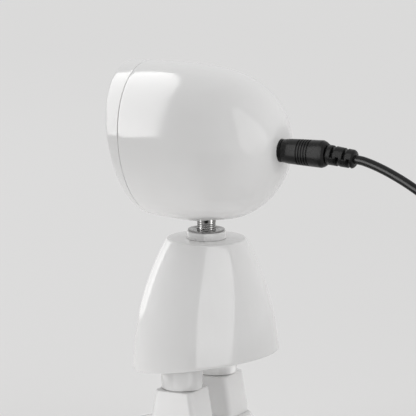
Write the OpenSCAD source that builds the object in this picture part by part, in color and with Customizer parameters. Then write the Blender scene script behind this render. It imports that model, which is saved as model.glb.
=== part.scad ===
// Table lamp in the form of a small standing astronaut.
// The round head swivels on a plated neck stem and holds the light behind its front bezel.
// Millimetres. The floor is z = 0, the neck axis is x = y = 0, and the face looks along -Y.

/* [Head] */
// Greatest radius of the head, a turned form whose axis runs front to back
head_r = 33; // [30:0.5:38]
// Depth of the flat that the neck leaves under the head
head_flat = 0.4; // [0.2:0.05:0.45]
// Distance from the neck axis forward to the head's centre
head_ahead = 5; // [2:0.5:8]
// Radius of the rear cap
cap_r = 28; // [24:0.5:30]
// Radius of the shoulder between the rear cap and the barrel
shoulder_r = 49; // [44:0.5:60]
// Lengthwise radius of the gently curved barrel
barrel_r = 283; // [200:1:400]
// How far the head's axis dips towards the rear, in degrees
head_pitch = 2.9; // [0:0.1:5]
// Wall of the rear shell
shell_wall = 2; // [1.6:0.1:2.4]
// Distance from the head's centre forward to the seam
seam_ahead = 19.3; // [17:0.1:20.5]
// Lean of the seam, top forward, in degrees
seam_tilt = 6.4; // [3:0.1:8]
// Distance from the head's centre forward to the front rim
rim_ahead = 24.4; // [23.5:0.1:27]
// Lean of the front rim, top forward, in degrees
rim_tilt = 12.3; // [10:0.1:14]
// Open shadow line between the rear shell and the bezel
seam_gap = 0.3; // [0.2:0.05:0.5]
// Wall of the bezel's spigot inside the rear shell
spigot_wall = 1.4; // [1.2:0.1:1.8]
// Reach of the spigot behind the seam
spigot_reach = 5; // [4:0.5:7]

/* [Light] */
// Width of the front face round the light opening
opening_inset = 7; // [6.5:0.5:10]
// Thickness of the bezel's front lip
lip_t = 2.2; // [1.6:0.1:3]
// Width of the diffuser's rim behind the lip
diffuser_rim = 1.6; // [1.2:0.1:2]
// Thickness of the opal diffuser
diffuser_t = 1.8; // [1.4:0.1:2.4]
// Rise of the diffuser's domed middle
diffuser_dome = 1.6; // [0.8:0.1:2]
// Depth of the reflector bowl behind its rim
reflector_depth = 11; // [8:0.5:12]
// Radius of the reflector's floor
reflector_floor_r = 15; // [13:0.5:16]
// Wall of the reflector
reflector_wall = 1.4; // [1:0.1:2]
// Thickness of the light board
board_t = 1.6; // [1:0.1:2]
// Thickness of the heat spreader
spreader_t = 2.5; // [1.5:0.1:3]
// Light chips on the outer ring
chip_count = 12; // [8:1:16]

/* [Neck] */
// Diameter of the plated stem
stem_d = 8; // [7:0.1:9]
// Diameter of the stem's journal inside the head
journal_d = 6; // [5:0.1:6.5]
// Stem length showing between the flange and the head
stem_gap = 3.9; // [3:0.1:7]
// Diameter of the white collar
collar_d = 16.4; // [14:0.1:20]
// Height of the white collar
collar_h = 3.1; // [2:0.1:5]
// Diameter of the plated flange
flange_d = 15.6; // [13:0.1:18]
// Thickness of the plated flange
flange_t = 0.8; // [0.6:0.1:1.2]
// Diameter of the thick pad inside the head, over the neck
seat_d = 26; // [24:0.5:30]
// Running clearance of the journal in its bush, all round
run_fit = 0.05; // [0.03:0.01:0.08]
// Turn of the head to each side, in degrees
swivel_limit = 90; // [45:1:120]

/* [Torso] */
// Height of the torso from its front hem to its top
torso_h = 57; // [50:0.5:64]
// Radius of the torso at its hem
torso_r = 31; // [29:0.5:34]
// Radius of the curve of the torso's sides
torso_curve_r = 121; // [112:1:140]
// Slope of the hem, rear up, in degrees
hem_tilt = 8.9; // [5:0.1:10]
// Wall of the torso shell
torso_wall = 2; // [1.6:0.1:2.6]
// Rounding of the torso's top edge
torso_edge = 1.2; // [0.6:0.1:2]
// Thickness of the plate that closes the torso
plate_t = 3; // [2.5:0.1:4]
// Depth of the plate above the hem's highest point
plate_depth = 3; // [2:0.5:5]

/* [Legs] */
// Height of the lower legs' tops above the floor
leg_top_z = 28.3; // [26:0.1:32]
// Distance between the two leg centres
leg_spread = 29.2; // [27:0.1:31]
// Distance from the neck axis forward to the leg centres
leg_ahead = 2.8; // [0:0.1:5]
// Width of a leg at its top
leg_top_w = 18.2; // [17.6:0.1:20]
// Width of a leg where it meets the shoe
leg_base_w = 21.4; // [20:0.1:23]
// Rounding of the legs' upright edges
leg_edge = 3; // [2:0.1:4]
// Gap between the lower legs' tops and the front hem
peg_gap = 4.7; // [3.5:0.1:7]
// Diameter of a peg where it enters the leg
peg_d = 16; // [15:0.1:16.4]
// Diameter of a peg under the torso
peg_top_d = 19.2; // [18:0.1:21]
// Dark ring of clearance round a peg
peg_ring = 0.4; // [0.2:0.05:0.5]
// Depth to which a peg drops into its leg
peg_depth = 3; // [2:0.1:4]
// Diameter of the spigot under a peg
spigot_d = 10; // [8:0.1:11]
// Length of the spigot under a peg
spigot_l = 8; // [6:0.1:9]

/* [Shoes] */
// Length of a shoe
shoe_l = 49; // [44:0.5:52]
// Width of a shoe
shoe_w = 25; // [23:0.1:27]
// Height of the instep
shoe_h = 15.2; // [14:0.1:17]
// Height of the cuff that carries the leg
cuff_h = 13; // [12:0.1:14]
// Distance from the leg's centre back to the heel
heel_back = 18.3; // [16:0.1:20]
// Height of the welt round the shoe
welt_h = 4; // [3:0.1:5]
// Thickness of the rubber sole
sole_t = 1.2; // [1:0.1:1.6]
// How far the sole stands below the shoe
sole_proud = 0.5; // [0.3:0.1:0.8]
// Margin of the shoe round its sole
sole_margin = 1.6; // [1.2:0.1:2.5]

/* [Supply lead] */
// Distance from the head's centre down to the socket and plug
jack_drop = 0.4; // [0:0.1:2]
// Diameter of the socket's bushing
jack_d = 9.6; // [9:0.1:10]
// Length of the moulded plug
plug_l = 19.5; // [16:0.1:24]
// Diameter of the plug at the head
plug_d = 10.4; // [10:0.1:11]
// Diameter of the plug at its rear
plug_rear_d = 11.5; // [11:0.1:12.5]
// Length of the slotted strain relief
relief_l = 12.2; // [12:0.1:15]
// Diameter of the strain relief
relief_d = 8.4; // [7.6:0.1:9]
// Droop of the strain relief, in degrees
relief_dip = 5; // [0:0.5:6]
// Diameter of the cord
cord_d = 3.8; // [3.4:0.1:3.9]

/* [In-line switch] */
// Length of the switch body
switch_l = 44; // [40:0.5:48]
// Width of the switch body
switch_w = 16; // [14:0.1:18]
// Height of the switch body
switch_h = 10.4; // [10:0.1:11]
// Length of the rocker
rocker_l = 17; // [15:0.1:19]
// Width of the rocker
rocker_w = 7.6; // [7:0.1:8.4]
// Tilt of the rocker to each side, in degrees
rocker_tilt = 8; // [6:0.5:9]

/* [Coil] */
// Turns in the lower layer of the stored coil
coil_turns = 4; // [3:1:4]
// Radius of the innermost turn
coil_in_r = 14; // [13:0.5:16]
// Step from one turn to the next
coil_step = 4.4; // [4.3:0.1:5]

/* [USB plug] */
// Length of the moulded grip
usb_l = 30; // [26:0.5:34]
// Width of the moulded grip
usb_w = 16; // [14:0.1:17]
// Height of the moulded grip
usb_h = 8.4; // [7.6:0.1:9]

/* [Hidden] */
$fn = 72;
// Facets of the widest curves
fine = 720;
// Colours
white = "#f2f2f0";
opal = "#fbf6ea";
plated = "#c9ccd0";
black = "#1d1d1f";
rubber_grey = "#8a8a8c";
board_green = "#2f6b45";
brass_tone = "#c8a14a";
// Clearance between pieces that are pressed or glued together
fit = 0.1;
// Overrun of a cutter past the face that it cuts
over = 1;
// Side of a block that cuts away everything beyond a plane
far = 300;

// Heights from the floor up
front_hem_z = leg_top_z + peg_gap;
torso_top_z = front_hem_z + torso_h;
hem_rise = torso_r * tan(hem_tilt);
hem_z = front_hem_z + hem_rise;
plate_z = hem_z + hem_rise + plate_depth;
collar_top_z = torso_top_z + collar_h;
flange_top_z = collar_top_z + flange_t;
seat_z = flange_top_z + stem_gap;
head_z = seat_z + head_r - head_flat;
head_y = -head_ahead;
jack_z = head_z - jack_drop;

// Centre of the rear cap along the head's axis, where cap and shoulder run into each other
cap_s = sqrt(pow(shoulder_r - cap_r, 2) - pow(shoulder_r - head_r, 2));
rear_y = head_y + (cap_s + cap_r) * cos(head_pitch);
// Barrel drawn ahead of the head's centre, past the rim's furthest point
barrel_reach = rim_ahead + head_r * tan(rim_tilt + head_pitch) + 4;
// Inner walls of the head, measured in from its outer form
spigot_in = shell_wall + fit;
bezel_in = spigot_in + spigot_wall;

// Depths behind the rim plane, along the face's own axis
diffuser_depth = lip_t;
reflector_rim = diffuser_depth + diffuser_t;
reflector_back = reflector_rim + reflector_depth;
spreader_depth = reflector_back + board_t;
spreader_back = spreader_depth + spreader_t;
driver_gap = 6;
driver_depth = spreader_back + driver_gap;
driver_post_x = 6.5;
driver_post_y = 8;
driver_post_r = 1.6;
driver_w = 26;
driver_l = 20;
// Sides and places of the larger parts on the driver board
block_w = 7;
block_h = 3;
block_x = -9;
block_y = -6;
can_r = 3;
can_h = 6;
can_x = 4;
can_y = 2;
chip_w = 5;
chip_l = 4;
chip_h = 2;
chip_x = 4;
chip_y = -7;
opening_r = head_r - opening_inset;
diffuser_r = opening_r + diffuser_rim;
board_r = reflector_floor_r;
// Height of the light opening's centre above the head's centre, on the rim plane
face_up = 0.7;

// Swivel stack inside the head
seat_t = 4;
floor_t = 2;
bush_z = seat_z + floor_t;
bush_r = 6.5;
bush_h = 6.5;
boss_r = 9.5;
bush_flange_r = 10.5;
bush_flange_t = 1.2;
bush_rim_z = bush_z + bush_h;
bush_top_z = bush_rim_z + bush_flange_t;
washer_z = bush_top_z + run_fit;
washer_t = 0.8;
washer_r = 7;
stop_z = washer_z + washer_t;
stop_t = 1.2;
stop_r = 7.4;
stop_lug_r = 10;
stop_wall_r = 7.8;
stop_wall_t = 2.4;
stop_wall_h = 3;
lug_half = 9;
stop_play = 1;
lock_z = stop_z + stop_t;
lock_h = 3.5;
lock_flats = 10;
stem_top_z = lock_z + lock_h + 0.8;
shoulder_z = bush_z - run_fit;
nut_h = 5;
nut_flats = 13;
nut_z = torso_top_z - torso_wall - nut_h;
// Distance from the axis to the flat that keys the stop washer
key_flat = journal_d / 2 - 0.5;

// Screws
screw_r = 1.5;
screw_head_r = 2.8;
screw_head_h = 2;
screw_fit = 0.05;
small_r = 1;
small_head_r = 1.9;
small_head_h = 1.4;
plate_screws = 3;
plate_screw_at = torso_r - torso_wall - 4.2;
plate_post_r = 3.6;
plate_post_h = 12;
plate_screw_bite = 6;
board_screw_count = 3;
board_screw_at = board_r - 2.6;
board_screw_turn = 30;

// Left and right are the figure's own
leg_y = -leg_ahead;
leg_x = leg_spread / 2;
tenon_w = 15;
tenon_h = 4;
leg_bottom_z = cuff_h - tenon_h;
recess_z = leg_top_z - peg_depth;
spigot_z = recess_z - spigot_l;
heel_y = leg_y + heel_back;
toe_y = heel_y - shoe_l;
foot_screw_top = recess_z;
peg_screw_l = 9;

// The plug stands against the head's rear, on the socket's axis
jack_back = 9;
jack_flange_t = 1.5;
jack_flange_r = 6.6;
jack_boss_r = 9;
jack_nut_t = 1.5;
jack_seat_y = rear_y - 5.5;
jack_body_l = 11;
plug_bore = 5.7;
barrel_d = 5.5;
barrel_l = 9.5;
plug_end_y = rear_y + plug_l;
relief_gap = 0.4;
relief_dir = [0, cos(relief_dip), -sin(relief_dip)];
relief_start = [0, plug_end_y + relief_gap, jack_z];
relief_end = relief_start + relief_l * relief_dir;
relief_core_d = 4.6;
relief_slot = 1.3;

// Switch on the floor behind the figure, its length along Y
switch_x = -30;
switch_y = 88;
switch_mid_z = 5.2;
switch_wall = 1.6;
rocker_z = 7.2;
rocker_play = 0.5;
pin_r = 0.9;
switch_rear_y = switch_y + switch_l / 2;
switch_front_y = switch_y - switch_l / 2;

// Stored coil of two layers, which spirals in and then out again
coil_x = 18;
coil_y = 78;
coil_lift = 1;
coil_layer = 4.4;
coil_dip = 1;
coil_out_turns = coil_turns - 0.25;
coil_r = coil_in_r + coil_turns * coil_step;
coil_end_r = coil_in_r + coil_out_turns * coil_step;
coil_low_z = coil_lift + cord_d / 2;
coil_top_z = coil_low_z + coil_layer;
coil_start_a = -90;
coil_rings = 24;
coil_total = coil_turns + 0.5 + coil_out_turns;
coil_start = [coil_x, coil_y - coil_r, coil_low_z];
coil_end = [coil_x + coil_end_r, coil_y, coil_top_z];
tie_w = 6;
tie_t = 0.8;

// USB plug on the floor beside the coil, its length along Y
usb_x = coil_end[0];
usb_y = 100;
usb_mid_z = usb_h / 2;
usb_shell_w = 12;
usb_shell_h = 4.5;
usb_shell_l = 16;
usb_shell_wall = 0.35;
usb_shell_y = usb_y + usb_l;

// Cord from the strain relief down to the switch, chosen by eye as such a cord droops
lead_route = [
  relief_end, relief_end + 2 * relief_dir, relief_end + [0, 4, -0.5], relief_end + [0, 8, -1.6],
  relief_end + [0, 12.8, -3.3], relief_end + [0, 17.5, -5.3], relief_end + [0, 22.9, -7.9],
  relief_end + [0, 28.7, -11.1], [-1, 105.3, 112.6], [-3, 113.8, 105.2], [-6, 122, 95.6], [-10, 129.5, 84], [-15, 134.5, 70], [-20, 137, 55], [-25, 136.5, 40],
  [-28.5, 133, 26], [-30, 127, 14.5], [-30, 120, 7.4], [-30, 114, 5.2], [-30, 112, 5.2],
  [switch_x, switch_rear_y, switch_mid_z]
];
// Cord from the switch round to the start of the coil
link_route = [
  [switch_x, switch_front_y, switch_mid_z], [-30, 64, 5.2], [-30, 62, 5.2], [-29, 56.5, 4.8],
  [-25.5, 51, 4.2], [-19.5, 47.4, 3.5], [-12, 46.4, 3.1], [-2, 46.4, 2.9], [6, 46.4, 2.9],
  coil_start - [cord_d, 0, 0]
];
// Cord from the end of the coil to the USB plug
tail_route = [
  coil_end + [0, cord_d, 0], coil_end + [0, 2 * cord_d, 0], [usb_x, 88.5, 6.4], [usb_x, 91.5, 5.2],
  [usb_x, 94.5, 4.4], [usb_x, 97, 4.2], [usb_x, usb_y, usb_mid_z]
];

// Direction of a vector, at length 1
function unit(v) = v / norm(v);
// Points on a smooth curve through p, with n steps from one point to the next
function smooth(p, n) = [
  for (i = [0 : len(p) - 2], k = [0 : n - 1])
    let (a = p[max(i - 1, 0)], b = p[i], c = p[i + 1], d = p[min(i + 2, len(p) - 1)], t = k / n)
    0.5 * (2 * b + (c - a) * t + (2 * a - 5 * b + 4 * c - d) * t * t
      + (3 * b - a - 3 * c + d) * t * t * t),
  p[len(p) - 1]
];
// Direction of travel at point i of p
function heading(p, i) = unit(p[min(i + 1, len(p) - 1)] - p[max(i - 1, 0)]);
// Ring of n points of radius r round point i of p, square to the travel
function ring(p, i, r, n, side) =
  let (t = heading(p, i), a = unit(cross(side, t)), b = cross(t, a))
  [for (k = [0 : n - 1]) p[i] + r * (cos(360 * k / n) * a + sin(360 * k / n) * b)];

// Closed tube of radius r along p, with n sides; side is a direction that p never runs along
module tube(p, r, n, side) {
  last = len(p) - 1;
  points = [for (i = [0 : last]) each ring(p, i, r, n, side)];
  walls = [
    for (i = [0 : last - 1], k = [0 : n - 1])
      let (a = i * n + k, b = i * n + (k + 1) % n)
      each [[a, a + n, b], [b, a + n, b + n]]
  ];
  first_cap = [for (k = [1 : n - 2]) [0, k, k + 1]];
  last_cap = [for (k = [1 : n - 2]) [last * n, last * n + k + 1, last * n + k]];
  polyhedron(points, concat(walls, first_cap, last_cap));
}

// Share of the climb done at share f of the half turn, slow at both ends
function ease(f) = f * f * (3 - 2 * f);
// Radius and height of the coil after t turns
function coil_at(t) =
  t < coil_turns ? [coil_r - coil_step * t, 0] :
  t < coil_turns + 0.5 ?
    let (f = (t - coil_turns) * 2) [coil_in_r - coil_dip * sin(180 * f), coil_layer * ease(f)] :
  [coil_in_r + coil_step * (t - coil_turns - 0.5), coil_layer];
// Centre line of the turns
coil_line = [
  for (i = [0 : round(coil_total * coil_rings)])
    let (t = i / coil_rings, rz = coil_at(t), a = coil_start_a + 360 * t)
    [coil_x + rz[0] * cos(a), coil_y + rz[0] * sin(a), coil_low_z + rz[1]]
];
// Least distance between turns of the coil, less the cord's own thickness
coil_gap = min([
  for (i = [0 : len(coil_line) - 1], j = [i + coil_rings / 2 : 1 : len(coil_line) - 1])
    norm(coil_line[i] - coil_line[j])
]) - cord_d;
echo(coil_least_gap = coil_gap);

// Place along the head's axis where the cap and the shoulder meet
function cap_joint(in) = cap_s + (cap_r - in) * cap_s / (shoulder_r - cap_r);

// Half profile of the head drawn in by in, with its axis along Y and the rear upwards
module head_profile(in) {
  intersection() {
    translate([0, cap_s]) circle(cap_r - in, $fn = fine / 4);
    translate([0, cap_joint(in)]) square([head_r, cap_r]);
  }
  intersection() {
    translate([head_r - shoulder_r, 0]) circle(shoulder_r - in, $fn = fine / 2);
    square([head_r, cap_joint(in)]);
  }
  intersection() {
    translate([head_r - barrel_r, 0]) circle(barrel_r - in, $fn = fine);
    translate([0, -barrel_reach]) square([head_r, barrel_reach]);
  }
}

// Solid form of the head, drawn in by in on all sides
module head_form(in) {
  translate([0, head_y, head_z])
    rotate([-90 - head_pitch, 0, 0])
      rotate_extrude($fn = 2 * $fn)
        head_profile(in);
}

// Everything ahead of a plane that leans its top forward, with the plane moved forward by shift
module ahead_of(distance, tilt, shift = 0) {
  translate([0, head_y - distance, head_z])
    rotate([tilt, 0, 0])
      translate([-far / 2, -far - shift, -far / 2])
        cube(far);
}

// Frame of the light: z runs forward out of the face and z = 0 is the rim plane
module face_frame() {
  translate([0, head_y - rim_ahead, head_z])
    rotate([90 + rim_tilt, 0, 0])
      translate([0, face_up, 0])
        children();
}

// Children placed on a ring of n about Z, the first on X
module around(n, r, turn = 0) {
  for (i = [0 : n - 1])
    rotate([0, 0, turn + 360 * i / n])
      translate([r, 0, 0])
        children();
}

// Children at the two leg centres
module at_legs() {
  for (side = [-1, 1])
    translate([side * leg_x, leg_y, 0])
      children();
}

// Outline with round ends, of width w, from the heel to the toe
module shoe_outline(in) {
  r = shoe_w / 2 - in;
  front = toe_y - leg_y + shoe_w / 2;
  back = heel_y - leg_y - shoe_w / 2;
  translate([0, front]) circle(r);
  translate([0, back]) circle(r);
  translate([-r, front]) square([2 * r, back - front]);
}

// Rectangle of w by l with corners of radius r, centred
module rounded(w, l, r) {
  square([w - 2 * r, l], center = true);
  square([w, l - 2 * r], center = true);
  for (x = [-1, 1], y = [-1, 1])
    translate([x * (w / 2 - r), y * (l / 2 - r)]) circle(r);
}

// Hexagonal nut with a round bore
module nut(flats, h, bore) {
  difference() {
    cylinder(d = flats / cos(30), h = h, $fn = 6);
    translate([0, 0, -over]) cylinder(d = bore, h = h + 2 * over);
  }
}

// Screw that points up, its head's underside at z = 0
module screw(r, l, head_r, head_h) {
  translate([0, 0, -head_h]) cylinder(r = head_r, h = head_h);
  cylinder(r = r, h = l);
}

// Half profile of the torso drawn in by in, from below the hem to its top
module torso_profile(in) {
  low = front_hem_z - over;
  top = torso_top_z - in;
  intersection() {
    translate([torso_r - torso_curve_r, front_hem_z]) circle(torso_curve_r - in, $fn = fine);
    translate([0, low]) square([torso_r, top - low]);
  }
}

// Corner that a rounding tangent to the torso's top and side takes off its half profile
module torso_corner() {
  middle = [torso_r - torso_curve_r, front_hem_z];
  out = sqrt(pow(torso_curve_r - torso_edge, 2) - pow(torso_h - torso_edge, 2));
  seat = middle + [out, torso_h - torso_edge];
  aside = seat + 2 * torso_edge * unit(seat - middle);
  difference() {
    polygon([seat, aside, aside + [0, 2 * torso_edge], seat + [0, 2 * torso_edge]]);
    translate(seat) circle(torso_edge);
  }
}

// Everything below the sloping hem
module below_hem() {
  translate([0, 0, hem_z])
    rotate([hem_tilt, 0, 0])
      translate([-far / 2, -far / 2, -far])
        cube(far);
}

// Torso shell, a bell with a flat top and a hem that rises to the rear
module torso_shell() {
  color(white)
    difference() {
      union() {
        difference() {
          rotate_extrude($fn = 2 * $fn)
            difference() {
              torso_profile(0);
              torso_corner();
            }
          rotate_extrude($fn = 2 * $fn) torso_profile(torso_wall);
        }
        intersection() {
          around(plate_screws, plate_screw_at, -90)
            translate([0, 0, plate_z + plate_t]) cylinder(r = plate_post_r, h = plate_post_h);
          rotate_extrude($fn = 2 * $fn) torso_profile(torso_wall / 2);
        }
      }
      below_hem();
      translate([0, 0, torso_top_z - torso_wall - over])
        cylinder(d = stem_d + 2 * fit, h = torso_wall + 2 * over);
      around(plate_screws, plate_screw_at, -90)
        translate([0, 0, plate_z])
          cylinder(r = screw_r + screw_fit, h = plate_post_h - over);
    }
}

// Plate that closes the torso and carries the pegs
module torso_base() {
  color(white)
    difference() {
      intersection() {
        translate([0, 0, plate_z]) cylinder(r = torso_r, h = plate_t);
        rotate_extrude($fn = 2 * $fn) torso_profile(torso_wall + fit);
      }
      around(plate_screws, plate_screw_at, -90)
        translate([0, 0, plate_z - over])
          cylinder(r = screw_r + screw_fit, h = plate_t + 2 * over);
      at_legs()
        translate([0, 0, plate_z - over])
          cylinder(r = screw_r + screw_fit, h = plate_t + 2 * over);
    }
}

// Screws that hold the plate in the torso
module base_screws() {
  color(plated)
    around(plate_screws, plate_screw_at, -90)
      translate([0, 0, plate_z])
        screw(screw_r, plate_t + plate_screw_bite, screw_head_r, screw_head_h);
}

// White collar on the torso
module neck_collar() {
  color(white)
    translate([0, 0, torso_top_z])
      difference() {
        cylinder(d = collar_d, h = collar_h);
        translate([0, 0, -over]) cylinder(d = stem_d + 2 * fit, h = collar_h + 2 * over);
      }
}

// Plated flange on the collar
module neck_flange() {
  color(plated)
    translate([0, 0, collar_top_z])
      difference() {
        cylinder(d = flange_d, h = flange_t);
        translate([0, 0, -over]) cylinder(d = stem_d + 2 * fit, h = flange_t + 2 * over);
      }
}

// Plated stem with the journal that the head turns on
module neck_stem() {
  color(plated)
    difference() {
      union() {
        translate([0, 0, nut_z - over]) cylinder(d = stem_d, h = shoulder_z - nut_z + over);
        translate([0, 0, shoulder_z]) cylinder(d = journal_d, h = stem_top_z - shoulder_z);
      }
      translate([-stem_d, -key_flat - stem_d, stop_z])
        cube([2 * stem_d, stem_d, stem_top_z - stop_z + over]);
    }
}

// Nut that clamps the stem under the torso's top
module stem_nut() {
  color(plated)
    translate([0, 0, nut_z])
      nut(nut_flats, nut_h, stem_d + 2 * screw_fit);
}

// Washer that gives the swivel its drag
module friction_washer() {
  color(plated)
    translate([0, 0, washer_z])
      difference() {
        cylinder(r = washer_r, h = washer_t);
        translate([0, 0, -over]) cylinder(d = journal_d + 2 * fit, h = washer_t + 2 * over);
      }
}

// Keyed washer whose lug stops the swivel at both ends
module stop_washer() {
  color(plated)
    translate([0, 0, stop_z])
      difference() {
        union() {
          cylinder(r = stop_r, h = stop_t);
          rotate([0, 0, -90 - lug_half])
            rotate_extrude(angle = 2 * lug_half)
              translate([stop_r - over, 0]) square([stop_lug_r - stop_r + over, stop_t]);
        }
        translate([0, 0, -over])
          intersection() {
            cylinder(d = journal_d + 2 * fit, h = stop_t + 2 * over);
            translate([-stem_d, -key_flat - fit, 0])
              cube([2 * stem_d, 2 * stem_d, stop_t + 2 * over]);
          }
      }
}

// Nut on the top of the stem
module lock_nut() {
  color(plated)
    translate([0, 0, lock_z])
      nut(lock_flats, lock_h, journal_d + 2 * screw_fit);
}

// Peg that hangs from the torso's plate and drops into a lower leg
module peg() {
  color(white)
    difference() {
      rotate_extrude()
        polygon([
          [0, spigot_z], [spigot_d / 2, spigot_z], [spigot_d / 2, recess_z], [peg_d / 2, recess_z],
          [peg_d / 2, leg_top_z], [peg_top_d / 2, front_hem_z + 3], [peg_top_d / 2, plate_z],
          [0, plate_z]
        ]);
      translate([0, 0, spigot_z - over])
        cylinder(r = screw_r + screw_fit, h = foot_screw_top - spigot_z + 2 * over);
      translate([0, 0, plate_z - peg_screw_l])
        cylinder(r = screw_r + screw_fit, h = peg_screw_l + over);
    }
}
module left_peg() {
  translate([leg_x, leg_y, 0]) peg();
}
module right_peg() {
  translate([-leg_x, leg_y, 0]) peg();
}

// Screws that hold the pegs to the plate
module peg_screws() {
  color(plated)
    at_legs()
      translate([0, 0, plate_z + plate_t])
        mirror([0, 0, 1]) screw(screw_r, plate_t + peg_screw_l - over, screw_head_r, screw_head_h);
}

// Lower leg, a tapered shaft with softened edges, a round socket on top and a tenon below
module leg() {
  color(white)
    difference() {
      union() {
        hull() {
          translate([0, 0, cuff_h])
            linear_extrude(0.1) rounded(leg_base_w, leg_base_w, leg_edge, $fn = 32);
          translate([0, 0, leg_top_z - 0.1])
            linear_extrude(0.1) rounded(leg_top_w, leg_top_w, leg_edge, $fn = 32);
        }
        translate([0, 0, leg_bottom_z])
          linear_extrude(tenon_h + over) rounded(tenon_w, tenon_w, leg_edge);
      }
      translate([0, 0, recess_z]) cylinder(d = peg_d + 2 * peg_ring, h = peg_depth + over);
      translate([0, 0, spigot_z]) cylinder(d = spigot_d + 2 * fit, h = spigot_l + over);
      translate([0, 0, leg_bottom_z - over])
        cylinder(r = screw_r + screw_fit, h = spigot_z - leg_bottom_z + 2 * over);
    }
}
module left_leg() {
  translate([leg_x, leg_y, 0]) leg();
}
module right_leg() {
  translate([-leg_x, leg_y, 0]) leg();
}

// Rounded shoe with a welt, a domed upper and a cuff that holds the leg's tenon
module shoe() {
  dome_y = (toe_y + heel_y) / 2 - leg_y;
  color(white)
    difference() {
      union() {
        translate([0, 0, sole_proud]) linear_extrude(welt_h) shoe_outline(0);
        intersection() {
          translate([0, dome_y, welt_h])
            scale([shoe_w / 2 - 0.4, shoe_l / 2 - 0.4, shoe_h - welt_h]) sphere(1, $fn = 96);
          translate([-far / 2, -far / 2, sole_proud]) cube(far);
        }
        translate([0, 0, welt_h])
          linear_extrude(cuff_h - welt_h) rounded(shoe_w - 2, shoe_w - 2, shoe_w / 4);
      }
      translate([0, 0, sole_proud - over])
        linear_extrude(sole_t - sole_proud + over) shoe_outline(sole_margin);
      translate([0, 0, leg_bottom_z])
        linear_extrude(far) rounded(tenon_w + 2 * fit, tenon_w + 2 * fit, leg_edge);
      translate([-far / 2, -leg_base_w / 2 - fit, cuff_h]) cube([far, far, far]);
      translate([0, 0, sole_t - over])
        cylinder(r = screw_head_r + fit, h = screw_head_h + over);
      cylinder(r = screw_r + screw_fit, h = leg_bottom_z + over);
    }
}
module left_shoe() {
  translate([leg_x, leg_y, 0]) shoe();
}
module right_shoe() {
  translate([-leg_x, leg_y, 0]) shoe();
}

// Rubber sole let into the shoe
module sole() {
  color(rubber_grey) linear_extrude(sole_t) shoe_outline(sole_margin + fit);
}
module left_sole() {
  translate([leg_x, leg_y, 0]) sole();
}
module right_sole() {
  translate([-leg_x, leg_y, 0]) sole();
}

// Screws up through the shoes and legs into the pegs
module foot_screws() {
  z = sole_t + screw_head_h;
  color(plated)
    at_legs()
      translate([0, 0, z]) screw(screw_r, foot_screw_top - z, screw_head_r, screw_head_h);
}

// Rear shell of the head, with the swivel boss and the socket boss inside
module head_shell() {
  boss_y = jack_seat_y - jack_flange_t - jack_nut_t;
  color(white)
    difference() {
      head_form(0);
      ahead_of(seam_ahead, seam_tilt);
      translate([-far / 2, -far / 2, seat_z - far]) cube(far);
      difference() {
        head_form(shell_wall);
        translate([0, 0, seat_z - over]) cylinder(d = seat_d, h = seat_t + over);
        translate([0, 0, seat_z - over]) cylinder(r = boss_r, h = bush_rim_z - seat_z + over);
        translate([0, boss_y, jack_z]) rotate([-90, 0, 0]) cylinder(r = jack_boss_r, h = rear_y - boss_y + over);
      }
      translate([0, 0, seat_z - over]) cylinder(d = stem_d + 0.8, h = floor_t + 2 * over);
      translate([0, 0, bush_z]) cylinder(r = bush_r + fit, h = bush_h + over);
      translate([0, jack_seat_y - over, jack_z])
        rotate([-90, 0, 0]) cylinder(d = jack_d + 2 * fit, h = rear_y - jack_seat_y + 4 * over);
      translate([0, boss_y - over, jack_z])
        rotate([-90, 0, 0])
          cylinder(r = jack_flange_r + 2 * fit, h = jack_flange_t + jack_nut_t + over);
    }
}

// Front bezel: the head's form carried on past the seam, a lip and a spigot inside the shell
module front_bezel() {
  color(white)
    difference() {
      union() {
        difference() {
          head_form(0);
          ahead_of(rim_ahead, rim_tilt);
          behind_seam(seam_gap);
        }
        difference() {
          head_form(spigot_in);
          ahead_of(rim_ahead, rim_tilt, -lip_t);
          behind_seam(-spigot_reach);
        }
      }
      difference() {
        head_form(bezel_in);
        ahead_of(rim_ahead, rim_tilt, -lip_t);
      }
      face_frame() translate([0, 0, -lip_t - over]) cylinder(r = opening_r, h = lip_t + 3 * over);
    }
}

// Everything behind the seam plane moved forward by shift
module behind_seam(shift) {
  translate([0, head_y - seam_ahead, head_z])
    rotate([seam_tilt, 0, 0])
      translate([-far / 2, -shift, -far / 2])
        cube(far);
}

// Opal diffuser: a flat rim behind the lip and a shallow dome in the opening
module diffuser() {
  dome_r = (pow(opening_r - fit, 2) + pow(diffuser_dome, 2)) / (2 * diffuser_dome);
  color(opal)
    face_frame()
      translate([0, 0, -reflector_rim])
        union() {
          cylinder(r = diffuser_r, h = diffuser_t);
          intersection() {
            cylinder(r = opening_r - fit, h = diffuser_t + diffuser_dome + over);
            translate([0, 0, diffuser_t + diffuser_dome - dome_r]) sphere(dome_r, $fn = fine);
          }
        }
}

// White reflector bowl between the diffuser and the light board
module reflector() {
  rim_r = opening_r - over;
  color(white)
    face_frame()
      translate([0, 0, -reflector_back])
        rotate_extrude()
          polygon([
            [reflector_floor_r - reflector_wall, 0], [reflector_floor_r, 0],
            [rim_r + reflector_wall, reflector_depth - reflector_wall],
            [diffuser_r, reflector_depth - reflector_wall], [diffuser_r, reflector_depth],
            [rim_r, reflector_depth], [reflector_floor_r - reflector_wall, reflector_wall]
          ]);
}

// Round board that carries the light chips
module led_board() {
  color(white)
    face_frame()
      translate([0, 0, -spreader_depth])
        difference() {
          cylinder(r = board_r, h = board_t);
          around(board_screw_count, board_screw_at, board_screw_turn)
            translate([0, 0, -over]) cylinder(r = small_r + screw_fit, h = board_t + 2 * over);
        }
}

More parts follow.
